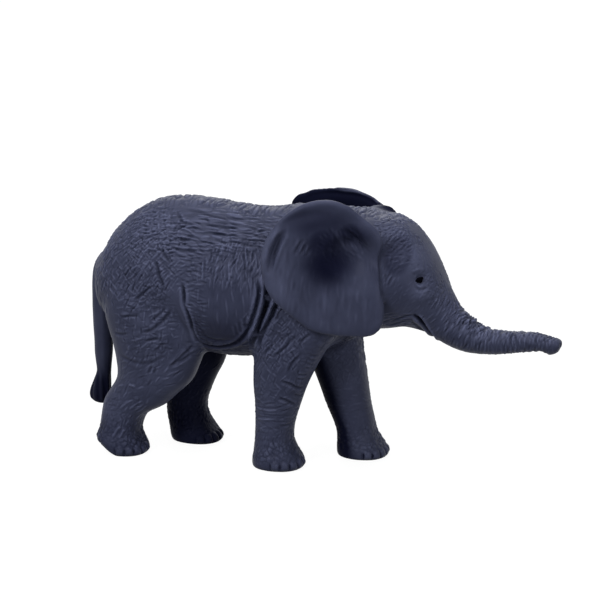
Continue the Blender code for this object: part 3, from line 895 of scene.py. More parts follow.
@dataclass(frozen=True)
class MouldedVinyl:
    """Soft PVC, rotation moulded and left matt, with dark paint sprayed into the ear's hollow and on the
    tuft, and painted shade in the other hollows and on the sides away from the light.

    It gives the eye a dull blue-black skin with broad soft highlights, crests brightened with painted
    highlight and creases darkened with painted shade.

    Args:
        body: Colour of the vinyl.
        highlight_and_cloud: Colour of the painted highlight on the crests and the brightened patches, which
            the lightest soft clouds take too.
        deep: Colour of the painted shade in the creases.
        paint: Colour of the sprayed dark paint, which also serves as painted shade.
        sheen: Colour of the highlights.
        roughness: Of the plain surface.
        crease_roughness: What a full crease adds to it.
        gloss: Specular level, bare and under a full dark coat, of paint and of painted shade alike.
        crest_highlight: How much of the painted highlight colour a full crest shows.
        crease_shading: How much of the painted shade colour a full crease shows.
        cloud: Size of the soft clouds.
        clouding: How much of the highlight colour the lightest cloud shows.
        pore: Size of the finest grain. The real one is about 0.1, and is drawn coarser.
        pore_depth: Depth of the grain's relief.
        grain: Strength of the grain's relief.
    """

    body: str = "#363A4F"
    highlight_and_cloud: str = "#585D78"
    deep: str = "#1D2132"
    paint: str = "#0A0C20"
    sheen: str = "#DAD8E6"
    roughness: float = 0.50
    crease_roughness: float = 0.10
    gloss: Pair = (0.16, 0.01)
    crest_highlight: float = 0.70
    crease_shading: float = 0.60
    cloud: float = 6.0
    clouding: float = 0.30
    pore: float = 0.28
    pore_depth: float = 0.05
    grain: float = 0.22

    def material(self, name: str) -> bpy.types.Material:
        """The finish as a material.

        Args:
            name: Its name.

        Returns:
            The material.
        """
        made = new_material(name)
        tree = made.node_tree
        place = add_node(tree, "TexCoord").outputs["Object"]
        crease, crest, spray = (
            add_node(tree, "Attribute", {"attribute_name": mark.value}).outputs["Fac"] for mark in Mark
        )
        cloud = add_node(tree, "TexNoise", {"Scale": 1 / (self.cloud * MM), "Detail": 3.0}, {"Vector": place})
        soft = add_node(tree, "MapRange", {"From Min": 0.45, "From Max": 0.80, "To Max": self.clouding},
                        {"Value": cloud.outputs["Fac"]})
        # painted highlight on the crests and patches, together with soft clouds of tone
        highlight_and_cloud = add_node(tree, "Math", {"operation": "MULTIPLY_ADD", "1": self.crest_highlight},
                        {"0": crest, "2": soft.outputs[0]})
        tint = add_node(tree, "Mix", {"data_type": "RGBA", "6": linear(self.body), "7": linear(self.highlight_and_cloud)},
                        {"0": highlight_and_cloud.outputs[0]})
        # painted shade in the creases; the same share also roughens them
        fold = add_node(tree, "Math", {"operation": "MULTIPLY", "1": self.crease_shading, "use_clamp": True},
                        {"0": crease})
        creased = add_node(tree, "Mix", {"data_type": "RGBA", "7": linear(self.deep)},
                           {"0": fold.outputs[0], "6": tint.outputs[2]})
        # dark paint and painted shade
        painted = add_node(tree, "Mix", {"data_type": "RGBA", "7": linear(self.paint)},
                           {"0": spray, "6": creased.outputs[2]})
        gloss = add_node(tree, "MapRange", {"To Min": self.gloss[0], "To Max": self.gloss[1]},
                         {"Value": spray})
        pores = add_node(tree, "TexNoise", {"Scale": 1 / (self.pore * MM), "Detail": 2.0}, {"Vector": place})
        dull = add_node(tree, "MapRange", {"From Min": 0.3, "From Max": 0.7, "To Min": self.roughness - 0.05,
                                           "To Max": self.roughness + 0.07}, {"Value": pores.outputs["Fac"]})
        rough = add_node(tree, "Math", {"operation": "MULTIPLY_ADD", "1": self.crease_roughness},
                         {"0": fold.outputs[0], "2": dull.outputs[0]})
        relief = add_node(tree, "Bump", {"Strength": self.grain, "Distance": self.pore_depth * MM},
                          {"Height": pores.outputs["Fac"]})
        shader = add_node(tree, "BsdfPrincipled", {"IOR": 1.53, "Specular Tint": linear(self.sheen)}, {
            "Base Color": painted.outputs[2],
            "Specular IOR Level": gloss.outputs[0],
            "Roughness": rough.outputs[0],
            "Normal": relief.outputs[0],
        })
        add_node(tree, "OutputMaterial", links={"Surface": shader.outputs[0]})
        return made


@dataclass(frozen=True)
class EyeEnamel:
    """Gloss black enamel, brushed on, which gives the eye a small wet highlight.

    Args:
        colour: Of the enamel.
        thin: Colour where the coat is thinner.
        sheen: Colour of the highlight.
        roughness: Where the coat is smoothest.
        brushed: What the brush adds to the roughness.
        pool: Size of the thicker and thinner spots.
    """

    colour: str = "#04040A"
    thin: str = "#07070D"
    sheen: str = "#6A6A88"
    roughness: float = 0.22
    brushed: float = 0.08
    pool: float = 0.5

    def material(self, name: str) -> bpy.types.Material:
        """The finish as a material.

        Args:
            name: Its name.

        Returns:
            The material.
        """
        made = new_material(name)
        tree = made.node_tree
        place = add_node(tree, "TexCoord").outputs["Object"]
        pool = add_node(tree, "TexNoise", {"Scale": 1 / (self.pool * MM), "Detail": 1.0}, {"Vector": place})
        shades = {"data_type": "RGBA", "6": linear(self.colour), "7": linear(self.thin)}
        colour = add_node(tree, "Mix", shades, {"0": pool.outputs["Fac"]})
        limits = {"To Min": self.roughness, "To Max": self.roughness + self.brushed}
        rough = add_node(tree, "MapRange", limits, {"Value": pool.outputs["Fac"]})
        values = {"IOR": 1.5, "Specular IOR Level": 0.02, "Specular Tint": linear(self.sheen)}
        shader = add_node(tree, "BsdfPrincipled", values,
                          {"Base Color": colour.outputs[2], "Roughness": rough.outputs[0]})
        add_node(tree, "OutputMaterial", links={"Surface": shader.outputs[0]})
        return made


@dataclass
class Moulding:
    """One moulding of the figure: what it adds to the skin, and the piece that is cut from it.

    Args:
        skin: The skin that it is worked in.
        node: The CAD node that it stands for.
        finish: Its finish.
        halves: The halves that a large one is cut into at the mould's parting line.
    """

    skin: Skin
    node: str
    finish: MouldedVinyl
    halves: tuple[Side | None, ...] = (None,)

    def shape(self) -> None:
        """Works the large soft forms into the skin."""

    def sculpt(self) -> None:
        """Works folds and wrinkles into the skin."""

    def spray(self) -> None:
        """Puts dark paint, painted shade and painted highlights on the skin."""

    def build(self) -> None:
        """Cuts the piece, or its halves, dresses it and puts it on its body."""
        material = self.finish.material(self.node + "_moulded_vinyl")
        for side in self.halves:
            piece = self.skin.moulding(self.node, side)
            piece.data.materials.clear()
            piece.data.materials.append(material)
            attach(piece, "root")
            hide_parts(self.node)
            LOG.info("%s: %d faces", piece.name, len(piece.data.polygons))


@dataclass
class Torso(Moulding):
    """The body between the legs, with its spine, flank folds and wrinkled sides."""

    bar_pitch: float = 0.98  # along the spine, from one bar to the next
    bar_length: float = 3.4
    bar_height: float = 0.23
    bar_reach: float = 4.2  # how far from the middle the bars go
    bar_marked: float = 0.40  # share of the bars' height that the finish reads as painted highlight and painted shade
    croup: float = -43.0  # where the bars begin and end along the figure
    crown: float = 19.0
    # painted shadow on the ribs under the flank, and painted shade under the belly
    rib_shadow: float = 0.18
    belly_shade: float = 0.5

    NEIGHBOURS = ("torso", "right_hind_leg", "left_hind_leg", "right_fore_leg", "left_fore_leg")
    SEEDS = (700, 100)
    BARS_AT = 800.0
    RIBS = Patch((-15.5, 31), (7.5, 8))
    FOLDS = (
        Line(((-24, -10.5, 36), (-23.7, -10.7, 34.7), (-23.5, -10.8, 33.4), (-23.4, -10.4, 31.6),
              (-22.8, -10.6, 30.1), (-22.4, -10.4, 28.4), (-22.3, -9.9, 26.6), (-22.1, -9.2, 25.1),
              (-21.5, -8.3, 23.7)), 0.55, 0.32),
        Line(((-21.9, -8.6, 24.4), (-20.2, -8.1, 23.2), (-18.4, -8.2, 23.2), (-15.9, -8.9, 23.7),
              (-13.7, -9.5, 24.7), (-12, -10, 26.1), (-11, -10.2, 27.6), (-9.9, -10.6, 29.6),
              (-9.1, -10.7, 31.9), (-8.7, -10.6, 34.1), (-8.5, -10.4, 36), (-8.6, -10.2, 37.5)), 0.52, 0.36),
        Line(((-12.6, -9.4, 24.7), (-10.5, -10.1, 27.1), (-9.3, -10.4, 29.5), (-8.5, -10.5, 31.9),
              (-7.9, -10.5, 33.8), (-7.7, -10.3, 35.7), (-8.1, -10.2, 37.3), (-8.3, -9.8, 39)),
             0.45, 0.42, Cut.RIDGE),
        Line(((-11.3, -7.9, 23.4), (-10.1, -9.1, 25.5), (-8.9, -10, 28.2), (-8, -10.3, 30.5),
              (-7.2, -10.3, 32.8), (-6.9, -10.2, 34.7), (-6.9, -10, 36.6), (-7.3, -9.8, 38.5),
              (-7.4, -9.4, 40.1)), 1.05, 0.5, fade=0.35),
        Line(((-10.5, -8.2, 23.8), (-9.6, -9, 25.5), (-8.5, -9.9, 28.2), (-7.5, -10.1, 30.2),
              (-6.4, -10, 32.4), (-5.4, -10, 34.4)), 0.45, 0.45, Cut.RIDGE),
        Line(((-9.5, -8.6, 24.2), (-8.9, -9.2, 26.3), (-8, -9.7, 27.9), (-7, -9.9, 29.8), (-6, -9.9, 32),
              (-5, -9.9, 34)), 0.6, 0.42),
    )
    CREASES = (
        Line(((-13.1, -11.2, 28.9), (-13, -10.8, 27.7), (-12.9, -10.4, 26.5)), 0.22, 0.28),
        Line(((-12.3, -11.2, 29.5), (-12.3, -10.9, 28.4), (-12.2, -10.5, 27.2)), 0.22, 0.28),
        Line(((-11.4, -11.1, 30.4), (-11.2, -10.9, 29.3), (-11.3, -10.6, 28.1)), 0.2, 0.28),
        Line(((-20.5, -10.2, 26.6), (-19.3, -9.7, 25.4), (-17.3, -9.7, 25), (-15.2, -10, 25.4)), 0.16, 0.35),
        Line(((-21.2, -10.6, 28.5), (-20.4, -10.4, 27.2), (-19.4, -10.2, 26.3)), 0.12, 0.35),
        Line(((-29.7, -9.5, 39.7), (-29.2, -9.9, 38.2), (-28.6, -10.2, 36.4), (-27.7, -10.4, 34.4)),
             0.24, 0.32),
        Line(((-28.9, -8.9, 41.8), (-27.7, -9.4, 40.4), (-26.5, -9.8, 39.2)), 0.16, 0.28),
        Line(((-22.9, -10.8, 31.7), (-20.9, -11.1, 31.9), (-19.5, -11.3, 31.7), (-18.5, -11.4, 31.1)),
             0.15, 0.22),
        Line(((-17, -10.4, 40), (-17.1, -11, 37.6), (-17.3, -11.4, 35.2), (-17.5, -11.5, 33)),
             0.24, 0.17, Cut.RIDGE),
        Line(((-19.9, -10.2, 40.2), (-19.8, -10.7, 38.3), (-19.7, -11, 36.4)), 0.18, 0.16, Cut.RIDGE),
        Line(((-13.3, -9.2, 43.1), (-12.5, -9.6, 41.8), (-11.6, -10, 40.4)), 0.22, 0.17, Cut.RIDGE),
        Line(((-11.9, -8.6, 44.2), (-11.6, -9.1, 43), (-11.4, -9.6, 41.9)), 0.2, 0.16, Cut.RIDGE),
        Line(((-9.4, -8.2, 44.9), (-9.2, -8.9, 43.2), (-9, -9.5, 41.6)), 0.2, 0.16, Cut.RIDGE),
        Line(((-15.8, -10.8, 38.4), (-15.8, -11.2, 36.9)), 0.14, 0.22),
        Line(((-14.6, -10.2, 40.2), (-14.4, -10.8, 38.5), (-14.3, -11.1, 36.9)), 0.2, 0.16, Cut.RIDGE),
        Line(((-11.7, -8.7, 43.1), (-11.1, -9.3, 41.7), (-10.6, -9.9, 40)), 0.2, 0.25),
        Line(((-9.8, -9.2, 41.5), (-10.1, -9.9, 39.8), (-10.4, -10.2, 38.7)), 0.18, 0.25),
        Line(((-25.9, -4.6, 48.5), (-22.6, -4.7, 48.4), (-19.4, -5.1, 47.9), (-16.6, -5.1, 47.7),
              (-13.8, -4.9, 47.7), (-11.1, -4.7, 47.7)), 0.18, 0.3),
        Line(((-27, -5.1, 48), (-26, -5.9, 47.2), (-24.9, -6.6, 46.5), (-22.7, -6.7, 46.4)), 0.18, 0.26),
        Line(((-21.1, -6.5, 46.6), (-18.8, -6.6, 46.4), (-16.3, -6.6, 46.3), (-14.1, -6.4, 46.3)),
             0.18, 0.24),
        Line(((-21, -7.6, 45.1), (-18.7, -7.6, 45.2), (-15.7, -7.6, 45.1)), 0.18, 0.24),
        Line(((-26.8, -8.9, 42), (-24.1, -9.2, 41.8), (-21.3, -9.3, 42.1)), 0.18, 0.24),
        Line(((-26.7, -8.2, 43.7), (-25, -8.4, 43.6), (-22.7, -8.4, 43.8)), 0.18, 0.24),
    )
    FORMS = (
        Swell((-16.5, -11, 31), (4.6, 3, 5), 0.55),
        Swell((-22.6, -9, 25.6), (1.3, 2, 2.4), -0.35),
        Swell((-15.5, -2.5, 19.9), (0.8, 0.8, 0.8), -0.1),
        Swell((-15.5, 0, 19.9), (1, 1, 1), 0.55, both=False),
        Swell((-9, -9.6, 42), (2.4, 2.4, 3), -0.45),
    )
    CRACKLES = (
        Crackle((-31.5, 36.5), (6.5, 8), 52, (1.9, 0.8), 0.085, 0.12),
        Crackle((-31, 44), (7, 6), 12, (1.6, 0.85), 0.1, 0.12),
        Crackle((-38.5, 39), (6.5, 11), 65, (1.6, 1), 0.085, 0.12),
        Crackle((-17.5, 45.2), (12, 4.6), -3, (3.2, 0.75), 0.12),
        Crackle((-22.5, 39), (6, 4), 4, (1.9, 0.85), 0.085),
        Crackle((-13.5, 40), (7.5, 5), 86, (2.6, 0.8), 0.1),
        Crackle((-16, 33), (8.5, 7), 91, (4.5, 1.5), 0.03),
        Crackle((-2.5, 44.5), (8, 5), -20, (1.6, 0.9), 0.13),
        Crackle((-16, 22.5), (9.5, 3.4), 5, (2.2, 1), 0.1),
        Crackle((4, 24), (6, 6), 20, (1.8, 1), 0.1),
    )
    PATCHES = (
        Wrinkles((-17.5, 45.6), (10.5, 3.2), -3, 7, 3.6, 0.6, 0.2),
        Wrinkles((-24, 42.2), (5, 2.4), 2, 10, 2.2, 0.66, 0.16),
        Wrinkles((-13.2, 40), (6.6, 4.4), 87, 13, 2.7, 0.6, 0.19, 0.15, 0.6),
        Wrinkles((-15, 35.6), (6.8, 6.2), 92, 6, 3.2, 1.25, 0.13, 0.14, 0.7),
        Wrinkles((-22, 37.4), (3.6, 3.2), 5, 16, 1.5, 0.66, 0.16),
        Wrinkles((-21, 30.2), (2.4, 4.4), -4, 8, 1.9, 0.56, 0.14, 0.15),
        Wrinkles((-30.5, 38.5), (5.6, 6.4), 52, 8, 3, 0.62, 0.15, 0.13, 0.6),
        Wrinkles((-30.5, 37.5), (5.6, 6.6), -42, 10, 1.9, 0.9, 0.14, 0.13, 0.55),
        Wrinkles((-30, 45.4), (6, 3.2), 8, 14, 2, 0.66, 0.18),
        Wrinkles((-29.5, 44.4), (6, 4), 95, 12, 1.3, 1, 0.16),
        Wrinkles((-37, 40.5), (5.6, 7), 55, 12, 2.4, 0.85, 0.16, 0.13, 0.65),
        Wrinkles((-38, 37.5), (5.6, 8), -45, 12, 1.6, 1.1, 0.15, 0.13, 0.65),
        Wrinkles((-42, 34), (3.6, 8), 80, 12, 2.6, 0.9, 0.13, 0.13, 0.6),
        Wrinkles((-4, 45.5), (6.6, 3.6), -14, 14, 2.2, 0.7, 0.18),
        Wrinkles((-16, 22.8), (8, 2.6), 4, 10, 2, 0.9, 0.1),
    )

    def shape(self) -> None:
        """Raises the ribs, sinks the flank and starts the spine's bars."""
        for form in self.FORMS:
            self.skin.swell(form)
        self.bar_spine(1 - self.bar_marked)

    def sculpt(self) -> None:
        """Works the folds, the spine's bars and the wrinkled sides into the skin."""
        for line in self.FOLDS + self.CREASES:
            self.skin.draw(line)
        for side in Side:
            self.skin.texture(self.CRACKLES, self.PATCHES, side, self.SEEDS, self.NEIGHBOURS)
        self.bar_spine(self.bar_marked)

    def spray(self) -> None:
        """Paints shade on the ribs, the folds behind the fore leg and the belly: a painted shadow under the
        flank and painted shade on the underside.
        """
        chosen = self.skin.on_node("torso")
        self.skin.spray(chosen, self.belly_shade * eased(-1.8 * self.skin.normals[chosen, 2] - 0.1))
        for side in Side:
            chosen, inside = self.skin.on_patch(self.RIBS, side, ("torso",))
            self.skin.spray(chosen, self.rib_shadow * eased(inside * 1.8))

    def bar_spine(self, share: float) -> None:
        """Presses short uneven bars across the spine, from the croup to the crown.

        Args:
            share: Part of their height that is worked now.
        """
        chosen = self.skin.on_node("torso", "head")
        place, out = self.skin.points[chosen], self.skin.normals[chosen]
        spot = place + 0.5 * wobble(place, 2.4, (11, 12, 14))
        spot = spot / (self.bar_pitch, self.bar_length, self.bar_length) + self.BARS_AT
        bars = plates(spot, 15, 0.45, 0.35, 0.17)
        beside = self.bar_reach - np.abs(place[:, 1]) + 0.8 * lumps(place, 3.0, 16)
        window = eased(beside / 2.4 + 0.3) * eased((out[:, 2] - 0.35) * 3)
        window *= eased((place[:, 0] - self.croup) / 4.0) * eased((self.crown - place[:, 0]) / 6.0)
        power = np.clip(0.9 + 0.7 * lumps(place, 2.2, 13), 0.3, 1.5)
        self.skin.lift[chosen] += share * self.bar_height * bars * window * power


@dataclass
class Leg(Moulding):
    """A leg with its foot, toenails, wrist rings and the muscle above.

    Args:
        side: Which side it is on.
        foot: Middle of the sole, x and y.
        shank: Middle of the leg above the foot in side view, x and z.
        fore: Whether it is a fore leg.
        lines: Its folds and wrinkles that the leg beside it has too.
        own_lines: Those that it has alone.
        pushes: What fits its outline.
        toe_in: How far the front of the foot is drawn in.
        heel_rise: How far the heel is lifted.
        nail_top: Height of the toenails' upper edge over the sole.
        nail_pitch: Degrees round the foot from one toenail to the next.
        nail_height: Relief of the toenails.
        pebble: Size of the foot's pebbles.
        pebble_height: Their relief.
        inner_relief: Depth of the inner side's wrinkles as a share of the outer side's.
        foot_shade: Most painted shade on the foot, towards the sole.
        inner_shade_and_paint: Most painted shade on a left leg's inner side.
        inner_wrap: How far that painted shade reaches round the front, from -1 to 1.5.
    """

    side: Side = Side.RIGHT
    foot: Pair = (0.0, 0.0)
    shank: Pair = (0.0, 12.0)
    fore: bool = True
    lines: tuple[Line, ...] = ()
    own_lines: tuple[Line, ...] = ()
    pushes: tuple[Push, ...] = ()
    toe_in: float = 0.3
    heel_rise: float = 0.0
    nail_top: float = 1.8
    nail_pitch: float = 22.0
    nail_height: float = 0.15
    pebble: float = 0.95
    pebble_height: float = 0.16
    inner_relief: float = 0.45
    foot_shade: float = 0.20
    inner_shade_and_paint: float = 0.0
    inner_wrap: float = -0.18

    LIT = (0.948, 0.317)  # the way from the rear of a left leg, which carries painted shade, to its front, which is left bare
    NAIL_TURN = {Side.RIGHT: 36.0, Side.LEFT: -20.0}  # where the middle toenail sits, in degrees outwards
    NAIL_WIDTH = 0.80  # half of it
    SLOT_WIDTH = 0.20
    TOE_AT, TOE_REACH = (4.4, 3), (2, 4.5, 2.6)  # the front of the foot, from the middle of the sole
    HEEL = 5.5  # height that the lifted heel fades over
    PEBBLED = 8.0  # height up to which the foot is pebbled
    PEBBLES_AT = 900.0
    RING_PITCH, RING_HEIGHT = 1.25, 0.10
    RING_BAND = 3.2  # how far the rings go above and below the wrist
    SHADED_FOOT = 9.0  # height that the foot's painted shade fades over
    SHADED_LEG = 28.0  # height up to which a left leg's inner side gets painted shade

    def nail_angles(self, between: bool) -> list[float]:
        """Where the five toenails are, or the six slots beside them, in degrees from straight ahead."""
        places = np.arange(6) - 2.5 if between else np.arange(5) - 2.0
        return [self.NAIL_TURN[self.side] + self.nail_pitch * place for place in places]

    def shape(self) -> None:
        """Draws the front of the foot in, sets its toenails and lifts its heel."""
        x, y = self.foot
        toe = Push((x + self.TOE_AT[0], y, self.TOE_AT[1]), self.TOE_REACH, (-self.toe_in, 0.0, 0.0))
        for push in (toe, *self.pushes):
            self.skin.push(push)
        self.nail(self.nail_height)
        if self.heel_rise:
            chosen = self.skin.on_node(self.node)
            chosen = chosen[self.skin.points[chosen, 2] < self.HEEL]
            back = eased((x + 0.6 - self.skin.points[chosen, 0]) / 5.2)
            low = 1 - eased(self.skin.points[chosen, 2] / self.HEEL)
            self.skin.points[chosen, 2] += self.heel_rise * back * low

    def sculpt(self) -> None:
        """Sharpens the toenails and works the pebbles, the rings and the wrinkles into the skin."""
        self.nail(0.3 * self.nail_height)
        self.roughen()
        for line in self.lines:
            self.skin.draw(line)
        for line in self.own_lines:
            self.skin.draw(line, both=False)
        seed = 1000 + 97 * len(self.node) + int(10 * self.foot[0])
        for facing in Side:
            share = 1.0 if facing is self.side else self.inner_relief
            kinds = (FORE_CRACKLES, FORE_PATCHES) if self.fore else (HIND_CRACKLES, HIND_PATCHES)
            crackles, patches = ([self.moved(patch, share) for patch in kind] for kind in kinds)
            self.skin.texture(crackles, patches, facing, (seed, seed), (self.node, "torso"))

    def moved(self, patch: Wrinkles | Crackle, depth: float) -> Wrinkles | Crackle:
        """Moves a patch given for an upright leg over x = 0 along with this leg's slant.

        Args:
            patch: The patch.
            depth: Share of its depth that is wanted.

        Returns:
            The patch for this leg.
        """
        share = min(max(patch.centre[1] / self.shank[1], 0.0), 1.6)
        shift = self.foot[0] + (self.shank[0] - self.foot[0]) * share
        return replace(patch, centre=(patch.centre[0] + shift, patch.centre[1]), depth=depth * patch.depth)

    def around_foot(self, top: float) -> tuple[Array, Array, Array]:
        """Finds the points of the foot.

        Args:
            top: How high the points may be.

        Returns:
            Indices of the points, their angles round the foot from straight ahead in degrees, and their
            distances from its middle.
        """
        chosen = self.skin.on_node(self.node)
        chosen = chosen[self.skin.points[chosen, 2] < top]
        dx = self.skin.points[chosen, 0] - self.foot[0]
        dy = (self.skin.points[chosen, 1] - self.foot[1]) * self.side.value
        return chosen, np.degrees(np.arctan2(dy, dx)), np.hypot(dx, dy)

    def slots(self, angle: Array, reach: Array) -> list[Array]:
        """How much each point of the foot is in each slot between the toenails, from 0 to 1."""
        middles = self.nail_angles(between=True)
        return [bell(np.radians(angle - middle) * reach / self.SLOT_WIDTH) for middle in middles]

    def nail(self, amount: float) -> None:
        """Raises five low toenails on the foot, with thin slots between them.

        Args:
            amount: Their height.
        """
        chosen, angle, reach = self.around_foot(self.nail_top + 2.5)
        height = self.skin.points[chosen, 2]
        rows = eased((height - 0.2) / 0.6) * (reach > 2.6)
        for middle in self.nail_angles(between=False):
            across = np.radians(angle - middle) * reach / self.NAIL_WIDTH
            up = (height - 0.52 * self.nail_top) / (0.58 * self.nail_top)
            off = np.hypot(across, up)
            self.skin.lift[chosen] += amount * rows * (np.exp(-(off**4)) - 0.5 * bell((off - 1.30) / 0.26))
        for slot in self.slots(angle, reach):
            self.skin.lift[chosen] -= amount * rows * (slot * eased((0.9 * self.nail_top - height) / 0.6))

    def roughen(self) -> None:
        """Pebbles the skin of the foot and rings the wrist."""
        chosen, _, _ = self.around_foot(19.0)
        place = self.skin.points[chosen]
        height = place[:, 2]
        low = eased((self.PEBBLED - height) / 3.5) * eased((height - 0.5) / 2.4)
        spot = (place + 0.45 * wobble(place, 1.8, (35, 36, 37))) / self.pebble + self.PEBBLES_AT
        patchy = np.clip(0.8 + 0.8 * lumps(place, 2.2, 32), 0.1, 1.4)
        self.skin.lift[chosen] += self.pebble_height * low * plates(spot, 31, 0.42, 0.55, 0.16, 0.8) * patchy
        band = bell((height - self.shank[1] + 1.0) / self.RING_BAND)
        phase = height / self.RING_PITCH + lumps(place, 3.5, 33) * 0.6
        rings = -bell(np.sin(math.pi * phase) / 0.28)
        self.skin.lift[chosen] += self.RING_HEIGHT * band * rings * np.clip(0.4 + lumps(place, 2.4, 34), 0, 1)

    def spray(self) -> None:
        """Paints shade on the foot, in the slots between the toenails, along the edge of the sole as a
        contact shadow, and on a left leg's inner side.
        """
        chosen, angle, reach = self.around_foot(10.0)
        height = self.skin.points[chosen, 2]
        self.skin.spray(chosen, self.foot_shade * eased((self.SHADED_FOOT - height) / 5.0))
        # painted shade in the slots between the toenails, and a painted contact shadow along the edge of the
        # sole
        coat = np.zeros(len(chosen))
        for slot in self.slots(angle, reach):
            coat = np.maximum(coat, 0.42 * (slot * eased((1.9 - height) / 0.6) * (reach > 3.0)))
        self.skin.spray(chosen, coat + 0.50 * eased((0.7 - height) / 0.5))
        # painted shade on the inner side of a left leg, which the body keeps from the lamps
        if self.side is Side.LEFT:
            own = self.skin.on_node(self.node)
            out = self.skin.normals[own]
            low = eased((self.SHADED_LEG - self.skin.points[own, 2]) / 6.0 + 0.3)
            inner = eased(-out[:, 1] * 1.5 + 0.6) * low
            ahead = out[:, :2] @ self.LIT
            self.skin.spray(own, self.inner_shade_and_paint * inner * eased((self.inner_wrap - ahead) * 3.2))


THIGH_LINES = (
    Line(((-26.2, -10.3, 31.8), (-25.2, -10.3, 30.2), (-24.5, -10, 28.4), (-23.6, -9.6, 26.7),
          (-23.1, -9.1, 24.8), (-22.7, -8.6, 22.7), (-22.6, -8.1, 20.9)), 0.07, 0.3, fade=0.5),
    Line(((-33.9, -10.2, 31.4), (-32.6, -10.1, 32.6), (-31.2, -10.2, 33.8), (-29.9, -10.2, 34.9)),
         0.24, 0.24),
    Line(((-32.3, -10.7, 25.3), (-30.3, -10.7, 26.1), (-28.9, -10.6, 27.2), (-27.8, -10.4, 28.2),
          (-27.1, -10.2, 29.2), (-26.3, -10.2, 30.5)), 0.2, 0.28),
    Line(((-30.4, -10.6, 27.6), (-29.3, -10.5, 28.7), (-28.2, -10.3, 29.7), (-27.5, -10.2, 30.7)),
         0.18, 0.22),
    Line(((-31.9, -10.6, 23.6), (-30.3, -10.6, 24.2), (-28.7, -10.6, 24.6)), 0.2, 0.24),
    Line(((-29.9, -10.6, 21.7), (-28.9, -10.6, 22.6), (-28.1, -10.5, 23.5)), 0.2, 0.24),
    Line(((-37, -9.9, 27.8), (-35.1, -10.3, 28.3), (-33.1, -10.5, 28.5)), 0.18, 0.24),
    Line(((-35.3, -10.2, 30.3), (-34.3, -10.3, 30), (-33.5, -10.4, 30.1)), 0.18, 0.22),
    Line(((-38.3, -9.1, 24.4), (-36.6, -9.9, 24.4), (-35.3, -10.3, 24.8)), 0.18, 0.24),
    Line(((-34.6, -10.3, 23.4), (-33.3, -10.6, 23.8), (-32, -10.6, 24.4)), 0.12, 0.17, Cut.RIDGE),
    Line(((-33.6, -10.5, 21.9), (-32.2, -10.6, 22.5), (-31.2, -10.6, 23.4)), 0.11, 0.16, Cut.RIDGE),
)
RIGHT_HIND_LOW_LINES = (
    Line(((-37.4, -9.1, 20), (-35, -10, 19.4), (-33, -10.3, 19.1), (-31.1, -10.4, 19.4), (-29.3, -10.4, 20.2),
          (-27.8, -10.4, 21.2)), 0.13, 0.3),
    Line(((-27, -10.1, 18.8), (-25.6, -9.8, 20), (-24.4, -9.5, 21.2), (-23.3, -9, 22.2), (-22.5, -8.5, 23.3)),
         0.22, 0.28),
    Line(((-25.4, -9.7, 19.7), (-24.1, -9.2, 20.6), (-23, -8.7, 21.6)), 0.22, 0.28),
    Line(((-27.6, -10, 17), (-26.2, -9.6, 17.8), (-24.6, -8.9, 18.2)), 0.09, 0.18, Cut.RIDGE),
    Line(((-26.6, -9.8, 21.2), (-25.2, -9.5, 22.6), (-24.2, -9.3, 24.2)), 0.1, 0.18, Cut.RIDGE),
    Line(((-28.6, -10.2, 20.6), (-27.2, -10.1, 22), (-26, -9.9, 23.8)), 0.1, 0.18, Cut.RIDGE),
    Line(((-29.4, -10.3, 18.4), (-28, -10.1, 19.6)), 0.1, 0.18, Cut.RIDGE),
    Line(((-31.3, -10.3, 17), (-30.8, -10.4, 18), (-30.4, -10.4, 18.8)), 0.18, 0.22),
    Line(((-30.1, -10.3, 17.3), (-29.6, -10.3, 18.5)), 0.18, 0.22),
    Line(((-35.4, -9.8, 14.5), (-33.9, -10.1, 14.3)), 0.18, 0.22, Cut.RIDGE),
    Line(((-37.2, -9.9, 9.6), (-35.8, -9.9, 10.8), (-34.6, -10, 11.5)), 0.12, 0.17, Cut.RIDGE),
    Line(((-35.5, -9.8, 9.4), (-34.2, -9.9, 10.5), (-32.8, -9.8, 11.4)), 0.12, 0.17, Cut.RIDGE),
    Line(((-34.5, -9.6, 9.2), (-33.5, -9.6, 10), (-32.4, -9.6, 10.9)), 0.12, 0.17, Cut.RIDGE),
    Line(((-38.7, -10.6, 3.6), (-37.9, -10.2, 5.1), (-37.1, -10, 5.9)), 0.18, 0.22, Cut.RIDGE),
    Line(((-37.3, -10.5, 3.6), (-36.8, -10, 4.7), (-36.4, -9.8, 5.5)), 0.18, 0.22, Cut.RIDGE),
)
